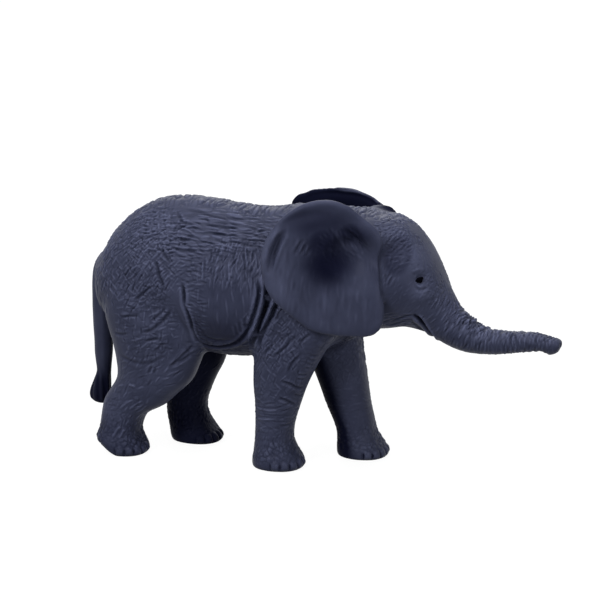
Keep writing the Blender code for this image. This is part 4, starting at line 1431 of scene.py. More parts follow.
RIGHT_FORE_LOW_LINES = (
    Line(((-4.5, -10.2, 18.2), (-2.9, -9.8, 17.7), (-1.5, -8.5, 16.7), (-0.9, -7.2, 16.6)), 0.26, 0.26),
    Line(((-5.1, -10, 14.8), (-3.5, -9.4, 14.2), (-2.3, -7.6, 13)), 0.24, 0.26),
    Line(((-1.5, -9.3, 18.7), (-0.5, -8.2, 18.5)), 0.18, 0.22),
    Line(((-2.3, -8.8, 15.5), (-1.8, -7.9, 15), (-1.4, -6.1, 14.7)), 0.18, 0.22),
    Line(((-1.3, -9.4, 19.5), (0.1, -8, 19.4)), 0.18, 0.22),
    Line(((-9.7, -8.8, 12.1), (-8.2, -9.6, 12.1), (-7, -9.8, 12), (-5, -9.7, 12.4)), 0.13, 0.2, Cut.RIDGE),
    Line(((-9.7, -8.7, 10.1), (-8, -9.6, 10.1), (-7, -9.7, 10.3), (-5.7, -9.6, 10.3)), 0.12, 0.18, Cut.RIDGE),
    Line(((-5.1, -9.3, 9), (-4.2, -8.6, 9), (-3.4, -7.3, 9.1)), 0.16, 0.22),
    Line(((0.9, -9.2, 23.7), (1.9, -8.1, 23.2)), 0.16, 0.2),
    Line(((0.7, -9.1, 22.7), (1.6, -7.8, 22.2)), 0.16, 0.2),
    Line(((0.4, -9, 21.8), (1.2, -7.4, 21.2)), 0.16, 0.2),
    Line(((0.1, -8.9, 21), (0.9, -7.1, 20.3)), 0.16, 0.2),
    Line(((-5.9, -10.3, 22.8), (-4.5, -10.3, 24), (-3.2, -10.3, 25.5), (-2.2, -10.2, 26.9)), 0.2, 0.24),
    Line(((-3, -10.1, 19.7), (-2.6, -10.2, 21.1), (-1.7, -10.1, 22.5), (-0.2, -9.9, 24.1)), 0.2, 0.24),
    Line(((-7.9, -9.8, 22.9), (-7.2, -9.9, 24.1), (-6, -10, 25.4)), 0.2, 0.24),
    Line(((-1, -10.2, 26), (0.1, -10.1, 26.9), (1.4, -9.8, 28)), 0.2, 0.24),
)
HIND_PUSHES = (  # the knee of the right hind leg and the back of its thigh
    Push((-30.4, -7, 11), (3, 4, 3.2), (0.4, 0, -0.32)),
    Push((-41, -7, 22), (2, 4, 5), (-0.22, 0, 0)),
    Push((-41, -7, 11), (2, 4, 5), (-0.18, 0, 0)),
)
HIND_CRACKLES = (
    Crackle((3, 26.5), (7, 8.5), 6, (2, 1.25), 0.075, 0.12),
    Crackle((1, 16), (6.5, 6.5), 35, (2, 1.1), 0.055, 0.12),
    Crackle((0, 8.5), (6, 5), 60, (1.5, 0.9), 0.06, 0.12),
)
FORE_CRACKLES = (
    Crackle((2, 28), (7, 7), 52, (1.9, 0.9), 0.11, 0.12),
    Crackle((1.5, 19.5), (6, 6.5), 60, (2.4, 1.1), 0.065, 0.12),
    Crackle((0, 11), (5.5, 6), 3, (2.4, 1.1), 0.06, 0.12),
)
HIND_PATCHES = (
    Wrinkles((3, 27), (6.8, 6.6), 6, 14, 2.2, 1.25, 0.15, 0.14),
    Wrinkles((3, 26), (6.8, 7), 88, 14, 1.6, 1.5, 0.14, 0.14),
    Wrinkles((1, 33.5), (5.4, 4.4), 48, 12, 2.3, 0.9, 0.14, 0.14),
    Wrinkles((3.2, 18.5), (6.6, 5.4), 38, 16, 2.6, 1.2, 0.13, 0.14, 0.6),
    Wrinkles((0, 11), (4.6, 4.8), 46, 22, 1.8, 1, 0.11, 0.14, 0.6),
    Wrinkles((0, 5.5), (5, 3), 70, 30, 1.4, 0.9, 0.1, 0.14),
)
FORE_PATCHES = (
    Wrinkles((2, 28.5), (6.6, 6), 52, 9, 2.6, 0.75, 0.17, 0.14, 0.6),
    Wrinkles((2, 28), (6.6, 6.6), -44, 11, 1.7, 0.95, 0.15, 0.14, 0.55),
    Wrinkles((1.5, 20.5), (5.4, 5.6), 58, 11, 2.9, 1, 0.12, 0.14, 0.5),
    Wrinkles((1.5, 20), (5.4, 5.6), -52, 12, 2, 1.3, 0.1, 0.14, 0.5),
    Wrinkles((0, 12.5), (4.6, 5.2), 4, 12, 2.6, 1.1, 0.1, 0.15, 0.5),
    Wrinkles((0, 5.5), (5, 3), 75, 30, 1.4, 0.9, 0.1, 0.14),
)


@dataclass
class Head(Moulding):
    """The head with its brow, temples, eye sockets, mouth and ringed trunk."""

    ring_pitch: float = 0.74
    ring_height: float = 0.34
    ring_length: float = 3.2  # of a bar over the trunk, before it breaks up
    # painted shade in the sunk temples
    temple_shade: float = 0.48
    nostril: float = 0.55

    SEEDS = (400, 300)
    TRUNK_BOX = ((18, -6, 24), (48, 6, 41))
    RINGS_AT = 600.0
    NOSTRIL_AT = (47.6, 0.75, 27.6)
    TEMPLE = Patch((17.3, 43.6), (3, 4.2))
    TRUNK = (
        (18.6, 0, 39.5), (20.2, 0, 36.5), (22.8, 0, 32.6), (25.6, 0, 29.6), (29.4, 0, 27.6),
        (33, 0, 26.8), (36.7, 0, 26.9), (40.7, 0, 27.4), (43.7, 0, 27.5), (45.6, 0, 27.25),
        (47.4, 0, 27),
    )
    FORMS = (
        Swell((17.4, -7, 44.4), (2.4, 2, 3), -0.65),
        Swell((21.6, -6.2, 39.2), (1.7, 1.6, 1.5), -0.42),
        Swell((21.8, -6.2, 36), (1.9, 1.6, 1.5), 0.42),
        Swell((18.5, -7.6, 37.4), (3, 2.4, 3), 0.25),
        Swell((24, -4.6, 33.6), (1.6, 1.6, 2.4), -0.3),
        Swell((16, -5.4, 30.6), (2.6, 2, 1.3), -0.25),
        Swell((19.3, -2.6, 47.6), (2.6, 2, 2), 0.22),
    )
    FOLDS = (
        Line(((20.4, -5.4, 32.1), (21.1, -4.7, 31.2), (21.6, -3.9, 30), (22.3, -3.2, 28.8),
              (22.9, -2.6, 27.8), (23.3, -1.2, 27.2), (23.4, 0, 27)), 0.75, 0.34),
        Line(((19.8, -5.4, 31.4), (20.4, -4.4, 30.4), (21, -3.2, 29), (21.9, -1.8, 27.8), (22.4, 0, 27)),
             0.3, 0.36, Cut.RIDGE),
        Line(((19.3, -4.4, 30.4), (20, -3, 29.2), (20.7, -1.7, 28.2)), 0.24, 0.24),
        Line(((17.1, -5.2, 31), (18.5, -5.4, 31.7), (20.2, -5.5, 32.1)), 0.2, 0.24),
        Line(((14.8, -4, 29.2), (16.5, -4.2, 29.8), (18.2, -4.4, 30.5)), 0.16, 0.22),
        Line(((15, -5.6, 30.4), (16.2, -5.2, 30.8), (17.4, -5, 31)), 0.16, 0.22),
    )
    BROW = Line(((14.1, -4.9, 48.5), (16, -4.6, 47.9), (17.3, -4.6, 47), (18.6, -5.1, 45.6),
                 (19.8, -5.4, 43.9), (20.8, -5.6, 42.2), (21.9, -5.4, 40.8), (23, -4.6, 39.6)),
                0.24, 1.25, Cut.RIDGE, fade=0.4)
    HIGHLIGHTS = (  # painted highlights on the cheek and the brow
        ((22, -6, 36.2), (1.6, 2, 1.6), 0.65),
        ((18.2, -5.2, 45.6), (1.7, 2.2, 2.4), 0.85),
        ((20.2, -4.9, 43), (1.9, 2.2, 3.8), 0.6),
    )
    PUSHES = (
        Push((12.4, 1.5, 51.6), (3.6, 6, 2.6), (0, 0, -0.75)),
        Push((13.4, 1.5, 50.8), (2, 5, 2.6), (0, 0, -0.36)),
        Push((26, 0, 34), (3.4, 4, 2.6), (-0.16, 0, -0.22)),
        Push((31, 0, 29.5), (4.5, 4, 1.8), (0, 0, -0.24)),
        Push((38.5, 0, 29.6), (4.5, 4, 1.6), (0, 0, -0.16)),
        Push((45.2, 0, 29.4), (1.6, 3, 1.2), (0, 0, -0.38)),
        Push((47.5, 0, 29), (1, 2.5, 1), (-0.28, 0, -0.3)),
        Push((47.5, 0, 26.2), (1, 2.5, 0.8), (-0.22, 0, 0.1)),
        Push((45.5, 0, 25.6), (1.1, 1.6, 0.9), (-0.45, 0, -0.42)),
        Push((48, 0.7, 27.5), (0.5, 0.45, 0.5), (-0.7, 0, 0)),
        Push((48, -0.7, 27.5), (0.5, 0.45, 0.5), (-0.7, 0, 0)),
    )
    EYE_RIM = (
        (20.75, -6.5, 39.25), (21.5, -6.1, 39.75), (22.35, -5.4, 39.75), (22, -5.9, 38.8),
        (21.6, -6.2, 38.5),
        (20.75, -6.5, 39.25),
    )
    EYELIDS = (
        Line(((20.6, -6.6, 39.5), (21.2, -6.35, 40), (21.9, -5.85, 40.2), (22.8, -5, 40.1)),
             0.34, 0.26, Cut.RIDGE),
        Line(((20.4, -6.8, 40.3), (21.3, -6.3, 40.8), (22.6, -5.3, 40.9)), 0.2, 0.24),
        Line(((20.9, -6.6, 38.8), (21.4, -6.4, 38.1), (22, -6.1, 38.2), (22.6, -5.6, 38.8)),
             0.16, 0.24, Cut.RIDGE),
        Line(((20.8, -6.6, 37.7), (21.8, -6.3, 37.3), (23, -5.5, 37.8)), 0.11, 0.24),
    )
    CREASES = (
        Line(((16.8, -7, 44.3), (18.1, -6.1, 45)), 0.18, 0.2),
        Line(((17.4, -7, 43.6), (18.7, -6.1, 44.4)), 0.18, 0.2),
        Line(((17.8, -7, 43), (19.1, -6.2, 43.7)), 0.18, 0.2),
        Line(((18.2, -7.1, 42.3), (19.4, -6.3, 42.9)), 0.18, 0.2),
        Line(((15.4, -6.3, 46.5), (15.9, -5.6, 47.1)), 0.16, 0.2),
        Line(((15.1, -7, 45.5), (15.7, -6, 46.7)), 0.16, 0.2),
        Line(((15.2, -8, 38.4), (15.7, -8, 39.5), (16.4, -7.8, 40.5)), 0.14, 0.18),
        Line(((15.7, -7.9, 37.9), (16.3, -7.9, 38.9), (16.8, -7.7, 39.8)), 0.14, 0.18),
        Line(((14.9, -8.1, 39.1), (15.5, -8, 40.1)), 0.14, 0.18),
    )
    CRACKLES = (
        Crackle((18, 47.5), (6, 3.6), 45, (1.1, 0.8), 0.1),
        Crackle((22.5, 42.5), (3.6, 5), 20, (1.2, 0.9), 0.035),
        Crackle((24, 36.5), (3.6, 4.6), 40, (1.6, 0.75), 0.055),
    )
    PATCHES = (
        Wrinkles((17.6, 44), (2.4, 2.8), 30, 12, 1.3, 0.55, 0.1, 0.15, 0.3),
        Wrinkles((16.2, 40.6), (1.8, 3), 60, 10, 1.5, 0.6, 0.07, 0.14, 0.5),
        Wrinkles((16, 48), (4, 2), 50, 16, 1, 0.62, 0.14, 0.15),
        Wrinkles((21.5, 43.5), (2.6, 4), 20, 30, 0.8, 0.8, 0.05, 0.15),
        Wrinkles((19, 35.6), (3.6, 3.2), 45, 14, 1.4, 0.8, 0.06, 0.15),
        Wrinkles((16.6, 30.6), (3.8, 1.8), 14, 9, 2.4, 0.46, 0.15, 0.14, 0.5),
        Wrinkles((24.8, 31.4), (3.6, 3.8), 48, 7, 2.6, 0.7, 0.12, 0.13, 0.65),
        Wrinkles((24.2, 37.4), (2.4, 3.8), 35, 14, 1.2, 0.6, 0.07, 0.13, 0.5),
        Wrinkles((29, 28.4), (4, 3), 66, 8, 2.2, 0.62, 0.15, 0.14, 0.6),
        Wrinkles((35, 27.2), (5, 3), 88, 8, 2.2, 0.62, 0.15, 0.14, 0.6),
        Wrinkles((42, 27.4), (4.5, 3), 93, 10, 1.9, 0.62, 0.14, 0.14, 0.6),
    )

    def shape(self) -> None:
        """Sinks the temples and the eye sockets, and raises the cheeks and the brow."""
        for form in self.FORMS:
            self.skin.swell(form)
        self.skin.draw(self.BROW)
        for push in self.PUSHES:
            self.skin.push(push)

    def sculpt(self) -> None:
        """Works the eyelids, mouth, wrinkles and trunk rings into the skin."""
        for line in self.FOLDS + self.EYELIDS + self.CREASES:
            self.skin.draw(line)
        for side in Side:
            self.skin.texture(self.CRACKLES, self.PATCHES, side, self.SEEDS, ("head",))
        self.ring_trunk()

    def ring_trunk(self) -> None:
        """Rings the trunk: round bars over the top, long slanted wrinkles on the sides, almost none below."""
        chosen = self.skin.within(*np.array(self.TRUNK_BOX))
        place = self.skin.points[chosen]
        path = smooth_line(self.TRUNK)
        _, share = distance_to_line(place, path)
        length = np.linalg.norm(np.diff(path, axis=0), axis=1).sum()
        shares = np.linspace(0, 1, len(path))
        centre = np.stack([np.interp(share, shares, path[:, axis]) for axis in range(3)], axis=1)
        offset = place - centre
        up = offset[:, 2] + 0.4 * offset[:, 0]
        top = up / np.maximum(np.linalg.norm(offset, axis=1), 0.3)
        run = share * length
        spot = np.stack([run, offset[:, 1], offset[:, 2]], axis=1)
        spot = spot / (self.ring_pitch, self.ring_length, self.ring_length)
        spot += 0.22 * wobble(place, 2.0, (41, 42, 44))
        spot[:, 0] += 0.35 * np.abs(offset[:, 1])
        bars = plates(spot + self.RINGS_AT, 45, 0.40, 0.35, 0.20)
        flank = (0.35 * eased(1 - np.abs(top) * 1.4) + 0.12) * eased((run - 9.0) / 6.0)
        over = eased(top * 1.1 + 0.05) + flank
        keep = eased((run - 7.0) / 13.0) * eased((length - 0.6 - run) / 2.0)
        patchy = np.clip(0.85 + 0.5 * lumps(place, 1.6, 43), 0.3, 1.3)
        self.skin.lift[chosen] += self.ring_height * bars * over * keep * patchy

    def spray(self) -> None:
        """Paints shade in the mouth, the nostrils and the sunk temples, darkens the eyes' corners with the
        eye's own paint, and paints highlights on the cheeks and the brow.
        """
        for side in Side:
            for centre, reach, amount in self.HIGHLIGHTS:
                self.skin.paint_highlight((centre[0], -side.value * centre[1], centre[2]), reach, amount)
            # painted shade in the nostrils
            x, y, z = self.NOSTRIL_AT
            far = np.linalg.norm(self.skin.points - (x, side.value * y, z), axis=1)
            self.skin.spray(np.arange(len(far)), 0.85 * np.exp(-((far / self.nostril) ** 6)))
        # painted shade along the mouth, and the eye's black paint round its rim
        for points, reach, amount in ((self.FOLDS[0].points, 0.34, 0.9), (self.EYE_RIM, 0.20, 0.6)):
            for line in (points, mirrored(points)):
                path = smooth_line(line)
                chosen = self.skin.beside(path, 1.5)
                far, _ = distance_to_line(self.skin.points[chosen], path)
                self.skin.spray(chosen, amount * np.exp(-((far / reach) ** 4)))
        # painted shade in the sunk temples
        for side in Side:
            chosen, inside = self.skin.on_patch(self.TEMPLE, side, ("head",))
            self.skin.spray(chosen, self.temple_shade * eased(inside * 1.6))


@dataclass
class Ear(Moulding):
    """A broad ear: rolled rim, folded hollow with sprayed paint, and soft drapes below.

    Args:
        side: Which side it is on.
        inner_shade_and_paint: Most darkening of its inner face, painted shade with some real paint.
        marked: Share of the folds' depth that the finish reads as painted highlight and painted shade.
    """

    side: Side = Side.RIGHT
    inner_shade_and_paint: float = 0.92
    marked: float = 0.15

    BACK, DOWN = 1.8, 2.7  # how far back and down the left ear sits, as in the CAD
    TURN_DEG = 8.0
    STRETCH = 1.12
    HUB = (9.7, 44.5)
    SEED = 900
    HOLLOW_FROM = 6.5  # distance from the middle at which the skin takes the hollow's paint
    BARE = (-1, 10.5)  # stretch of the left ear's rim whose inner face is left bare of the painted shade, along the figure

    SPRAYS = (
        ((5.1, -10.6, 41.8), (4.4, 4.2), 0.2, 0.95),
        ((4.4, -11, 45.6), (3.2, 3.9), 0.15, 0.85),
        ((9.2, -9.6, 47.7), (3.5, 2.3), 0.18, 0.8),
        ((3.8, -11, 49.4), (6, 2.7), 0.26, 0.72),
    )
    # painted highlights on the rim and the lower ear
    HIGHLIGHTS = (
        ((-4.2, -13.2, 41), (2.8, 3, 7), 0.72),
        ((-6.2, -13.4, 43), (0.9, 3, 4.5), 0.6),
        ((3, -11.5, 36), (9, 3, 4), 0.12),
    )
    ROOT = (12.2, 6.8, 49)  # where the front of the left ear shows behind the crown, which takes painted shade
    ROOT_REACH = (3.4, 2.4, 1.8)
    ROLL = (  # rim of the left ear, as it shows behind the head
        (-9, 12.9, 47.3), (-7.1, 12.2, 48.9), (-4.3, 11.3, 50.5), (-1.1, 10, 51.2), (2, 9.2, 51.3),
        (4.9, 8.7, 51.3), (7.8, 8.6, 50.3), (10.8, 6.8, 49.1),
    )
    PUSHES = (
        Push((-8.2, 12.6, 48.2), (2.6, 3, 2.4), (-1.2, 0, 0.1)),
        Push((-7.6, 12.2, 48.8), (2, 2.4, 2.2), (-0.15, 0, 0.4)),
        Push((3.4, 9.5, 51.4), (2.8, 2.4, 2.2), (0, 0, -0.22)),
        Push((11, 8.2, 49.8), (2.6, 2.2, 2), (1.5, 0, 0.6)),
        Push((-1.5, 10.6, 51.4), (4, 3, 2.4), (0, 0, -0.5)),
        Push((14.2, 5.8, 48.4), (1.8, 2.4, 2), (0.2, 0, 0.45)),
    )
    FORMS = (
        Swell((12, -9, 47.6), (2.2, 2.4, 2.2), 0.75),
        Swell((6.4, -9.6, 43.4), (2.8, 2.6, 2.8), -0.35),
        Swell((9.4, -8.8, 46.4), (1.4, 2, 1.6), -0.45),
        Swell((3.6, -10.6, 52.2), (5, 2.2, 1.2), 0.25),
    )
    CRACKLES = (
        Crackle((4.5, 35.5), (11.5, 6.5), 88, (8, 1.3), 0.022, 0.22),
        Crackle((-1.5, 41.5), (5.5, 7), 84, (7, 1.2), 0.035, 0.2),
    )
    PATCHES = (
        Wrinkles((4.5, 35), (11, 5.5), 89, 5, 4.5, 1.3, 0.05, 0.28, 0.5),
        Wrinkles((-1.5, 42.5), (5, 6), 84, 6, 3.6, 1.2, 0.07, 0.26, 0.5),
        Wrinkles((7.5, 45.5), (4.5, 3.5), 125, 12, 2, 0.7, 0.1, 0.2, 0.5),
    )
    FOLDS = (
        Line(((-2.7, -12.6, 48.3), (-3.5, -13, 46.8), (-4.1, -13.1, 45.5), (-4.6, -13.2, 44.1),
              (-5.1, -13.3, 42.5), (-5.5, -13.3, 40.6)), 1.00, 0.5, fade=0.45),
        Line(((-3.3, -12.7, 48.9), (-4.6, -13.2, 47.3), (-5.5, -13.4, 45.5), (-6.1, -13.5, 43.5),
              (-6.4, -13.5, 41.9), (-6.2, -13.4, 40), (-5.4, -13.4, 38.5)), 0.7, 0.55, Cut.RIDGE, fade=0.4),
        Line(((0.8, -12.1, 46.8), (-0.2, -12.3, 45.1), (-1, -12.4, 43.3)), 0.42, 0.28, fade=0.5),
        Line(((1.5, -12, 46.2), (0.8, -12.2, 44.9), (0.2, -12.3, 43.5)), 0.32, 0.24, fade=0.5),
        Line(((2.2, -11.9, 45.4), (1.7, -12, 44.3), (1.1, -12.1, 43)), 0.24, 0.24, fade=0.5),
        Line(((-0.5, -12.3, 42.6), (-1.2, -12.5, 40.2), (-1.7, -12.7, 37.8), (-1.9, -12.8, 35.6),
              (-1.9, -12.8, 33.9)), 0.2, 0.32, fade=0.5),
        Line(((-3.6, -12.9, 42.8), (-4.1, -13, 40.6), (-4, -13.1, 38.8), (-3.7, -13.1, 37.4)),
             0.2, 0.28, fade=0.5),
        Line(((-2.4, -12.8, 44), (-2.9, -12.9, 41.5), (-3, -13, 39)), 0.12, 0.35, Cut.RIDGE, fade=0.5),
        Line(((0.8, -12.2, 37.5), (0.6, -12.1, 34.8), (1, -11.9, 32.4)), 0.18, 0.36, fade=0.5),
        Line(((-5.2, -12.6, 48.6), (-3, -11.8, 50.7), (-0.8, -11, 52), (0.9, -10.4, 52.9), (3, -10, 53.4),
              (5, -9.7, 53.4), (6.8, -9.4, 53), (8.4, -9.2, 52.2)), 0.3, 0.62, Cut.RIDGE, fade=0.3),
        Line(((-3.6, -12.4, 48.6), (-1.2, -11.9, 50.2), (1.6, -11.2, 51.3), (4.1, -10.6, 51.5),
              (6.6, -10, 50.6)), 0.2, 0.75, fade=0.5),
        Line(((7.4, -9.8, 48.7), (9.2, -9.1, 47.3), (10.3, -8.4, 45.6), (11.3, -8.3, 44)),
             0.55, 0.4, fade=0.4),
        Line(((8.8, -9.6, 50), (11, -9, 48.4), (12.4, -8.6, 46.2), (12.8, -8.6, 44.4)),
             0.25, 0.7, Cut.RIDGE, fade=0.5),
        Line(((10.5, -8.5, 45.8), (11.1, -8.3, 44.7), (11.9, -8.4, 44)), 0.18, 0.24, Cut.RIDGE, fade=0.5),
        Line(((5.4, -10.8, 45.9), (5.7, -10.4, 44.5), (5.9, -10.4, 42.9)), 0.2, 0.36, Cut.RIDGE, fade=0.5),
        Line(((6.8, -10.1, 47.8), (7.7, -9.3, 45.5), (8.5, -9, 43.9), (9.7, -8.8, 42.8)),
             0.26, 0.4, Cut.RIDGE, fade=0.5),
        Line(((6, -10.4, 48.4), (6.4, -10.2, 46.6), (7.2, -9.6, 44.4)), 0.2, 0.34, fade=0.5),
        Line(((2.6, -11.4, 40), (2.8, -11.7, 35), (3.2, -11.8, 30.6)), 0.08, 0.7, fade=0.5),
        Line(((6.9, -11, 40), (7.2, -11.2, 35), (7.3, -11.2, 30.6)), 0.09, 0.7, fade=0.5),
        Line(((10.3, -10, 40), (10.6, -10.3, 35), (11, -10.3, 31)), 0.08, 0.6, fade=0.5),
        Line(((4.5, -11.2, 39.5), (4.8, -11.5, 34.6), (5.4, -11.6, 30.8)), 0.08, 0.65, Cut.RIDGE, fade=0.5),
        Line(((8.2, -10.6, 39.5), (8.4, -10.8, 34.6), (8.8, -10.6, 30.6)), 0.08, 0.6, Cut.RIDGE, fade=0.5),
        Line(((11.6, -10, 38.5), (11.8, -10.3, 34), (12.2, -10.3, 31.2)), 0.09, 0.5, Cut.RIDGE, fade=0.5),
        Line(((0.2, -12.2, 40), (-0.3, -12.4, 36.5), (-0.2, -12.4, 33.5)), 0.09, 0.45, Cut.RIDGE, fade=0.5),
        Line(((13.2, -10.2, 35.4), (13.5, -10.3, 33), (13.2, -10.3, 31)), 0.12, 0.4, Cut.RIDGE, fade=0.5),
        Line(((3.6, -11.6, 36), (3.8, -11.8, 33.8), (4.2, -11.8, 31.6)), 0.06, 0.25, Cut.RIDGE, fade=0.5),
        Line(((6, -11.4, 36.4), (6.1, -11.5, 34.2), (6.4, -11.4, 31.4)), 0.06, 0.25, Cut.RIDGE, fade=0.5),
        Line(((9.7, -10.6, 36.4), (9.8, -10.7, 34), (10.1, -10.6, 31.4)), 0.06, 0.25, Cut.RIDGE, fade=0.5),
        Line(((11.5, -8.6, 43), (11.8, -8.9, 41.5), (12.2, -9.4, 40)), 0.12, 0.2, fade=0.5),
        Line(((12.4, -8.7, 43.1), (12.6, -9, 41.5), (12.9, -9.4, 39.5)), 0.12, 0.2, fade=0.5),
        Line(((13.2, -8.8, 43.1), (13.4, -9.3, 41.1), (13.5, -9.4, 39.6)), 0.12, 0.2, fade=0.5),
    )
    FRONT = (
        (13.9, -8, 44.2), (14.4, -8.2, 42.9), (14.5, -8.4, 40.7), (14.7, -8.6, 38.5), (15, -8.6, 36.5),
        (15.6, -8.4, 34.5), (16, -8.2, 32.8),
    )

    def placed(self, points: Points | Array) -> Array:
        """Points given for the right ear, moved to where they lie on this one.

        Args:
            points: Places on the right ear.

        Returns:
            The same places on this ear.
        """
        rows = np.asarray(points, float)
        if self.side is Side.RIGHT:
            return rows
        x, z = (rows[:, 0] - self.HUB[0]) * self.STRETCH, rows[:, 2] - self.HUB[1]
        turn = math.radians(self.TURN_DEG)
        back = x * math.cos(turn) + z * math.sin(turn)
        up = -x * math.sin(turn) + z * math.cos(turn)
        return np.stack([back + self.HUB[0] - self.BACK, -rows[:, 1], up + self.HUB[1] - self.DOWN], axis=1)

    def shape(self) -> None:
        """Swells the knuckle and works the rolled rim, the folds and the drapes into the ear."""
        for form in self.FORMS:
            self.skin.swell(replace(form, centre=tuple(self.placed((form.centre,))[0]), both=False))
        if self.side is Side.LEFT:
            for push in self.PUSHES:
                self.skin.push(push)
        self.fold(1 - self.marked)
        self.skin.draw_one(smooth_line(self.placed(self.FRONT)), -0.35, 0.32)
        if self.side is Side.LEFT:
            self.skin.draw_one(smooth_line(self.ROLL), 0.25, 0.40)

    def fold(self, share: float) -> None:
        """Works a share of the depth of the folds and drapes into the ear.

        Args:
            share: Part of their depth that is worked now.
        """
        for line in self.FOLDS:
            height = share * line.depth * line.cut.value
            self.skin.draw_one(smooth_line(self.placed(line.points)), height, line.width, line.fade)

    def sculpt(self) -> None:
        """Works the rest of the folds and the fine streaks of the drapes into the ear."""
        self.fold(self.marked)
        crackles, patches = (
            [replace(patch, centre=self.across(patch.centre)) for patch in kind]
            for kind in (self.CRACKLES, self.PATCHES)
        )
        self.skin.texture(crackles, patches, self.side, (self.SEED, self.SEED + 40), (self.node,))

    def across(self, centre: Pair) -> Pair:
        """Middle of a patch given for the right ear, moved to this one."""
        x, _, z = self.placed(((centre[0], 0.0, centre[1]),))[0]
        return float(x), float(z)

    def spray(self) -> None:
        """Paints highlights on the rim, sprays the hollow with dark paint, and darkens the inner face near
        black with painted shade and some paint, with soft edges.
        """
        for centre, reach, amount in self.HIGHLIGHTS:
            self.skin.paint_highlight(tuple(self.placed((centre,))[0]), reach, amount)
        chosen = self.skin.on_node(self.node, "head", "torso")
        place = self.skin.points[chosen]
        coat = np.zeros(len(chosen))
        for centre, reach, soft, amount in self.SPRAYS:
            off = place - self.placed((centre,))[0]
            far = np.hypot(off[:, 0] / reach[0], off[:, 2] / reach[1])
            coat = np.maximum(coat, amount / (1 + np.exp((far - 1) / soft)))
        outer = eased(self.skin.normals[chosen, 1] * self.side.value * 2 + 0.9)
        self.skin.spray(chosen, coat * outer * (np.abs(place[:, 1]) > 6.5))
        # painted shade with some paint on the inner face, and on the ear's root behind the crown
        own = self.skin.on_node(self.node, "head")
        near = (((self.skin.points[own] - self.ROOT) / self.ROOT_REACH) ** 2).sum(axis=1)
        root = bell(near) * (self.side is Side.LEFT)
        wanted = self.skin.belongs(own, (self.node,)) | (root > 0.02)
        own, root = own[wanted], root[wanted]
        inner = eased(-self.skin.normals[own, 1] * self.side.value * 3 - 0.3)
        inner *= self.skin.belongs(own, (self.node,))
        if self.side is Side.LEFT:
            place = self.skin.points[own]
            rim = distance_to_line(place, smooth_line(self.ROLL))[0]
            bare = eased((place[:, 0] - self.BARE[0]) / 3.0) * eased((self.BARE[1] - place[:, 0]) / 2.0)
            inner *= 1 - bare * (1 - eased((rim - 0.05) / 0.3))
            inner = np.maximum(inner, root * eased(2.2 - 2 * self.skin.normals[own, 0]))
        self.skin.spray(own, self.inner_shade_and_paint * inner)


@dataclass
class Tail(Moulding):
    """The smooth tail with its sprayed tuft.

    Args:
        thicker: How much the lower half gains in thickness.
        groove: Depth of the tuft's grooves.
        strand: Relief of the tail above the tuft.
        tuft_paint: Most dark paint on the tuft.
        front_shade: Most painted shade on the front of the tail, the side that faces the legs.
    """

    thicker: float = 0.14
    groove: float = 0.13
    strand: float = 0.05
    tuft_paint: float = 0.85
    front_shade: float = 0.48

    MIDDLE = -45.0  # along the figure
    TUFT = 15.0  # height of its upper end
    PUSHES = (  # the root is drawn in, the middle forwards and the tuft back
        Push((-46.6, 0, 38.5), (2, 3, 2.6), (0.4, 0, 0)),
        Push((-46.8, 0, 26.5), (2, 3, 4), (0.2, 0, 0)),
        Push((-46.4, 0, 15.8), (2, 3, 3.2), (-0.34, 0, 0)),
    )

    def shape(self) -> None:
        """Draws the root in, and thickens the lower half and bends it back."""
        for push in self.PUSHES:
            self.skin.push(push)
        chosen = self.skin.on_node(self.node)
        height = self.skin.points[chosen, 2]
        self.skin.lift[chosen] += self.thicker * eased((height - 14.0) / 4.0) * eased((30.0 - height) / 4.0)

    def sculpt(self) -> None:
        """Grooves the tuft lengthways and the tail above it a little."""
        chosen = self.skin.on_node(self.node)
        x, y, z = self.skin.points[chosen].T
        turn = np.arctan2(y, x - self.MIDDLE)
        low = eased((self.TUFT - z) / 4.0) * eased((z - 7.4) / 1.0)
        self.skin.lift[chosen] += self.groove * low * np.cos(turn * 7 + 0.25 * z)
        high = eased((z - self.TUFT) / 3.0)
        self.skin.lift[chosen] += self.strand * high * np.cos(turn * 2 + 0.8)

    def spray(self) -> None:
        """Sprays the tuft dark, and paints shade on the front of the tail."""
        chosen = self.skin.on_node(self.node)
        x, _, z = self.skin.points[chosen].T
        self.skin.spray(chosen, self.tuft_paint * eased((16.5 - z) / 5.0))
        # painted shade on the front of the tail, which faces the legs
        self.skin.spray(chosen, self.front_shade * eased((x + 44.4) / 0.9) * eased((34.0 - z) / 3.0))


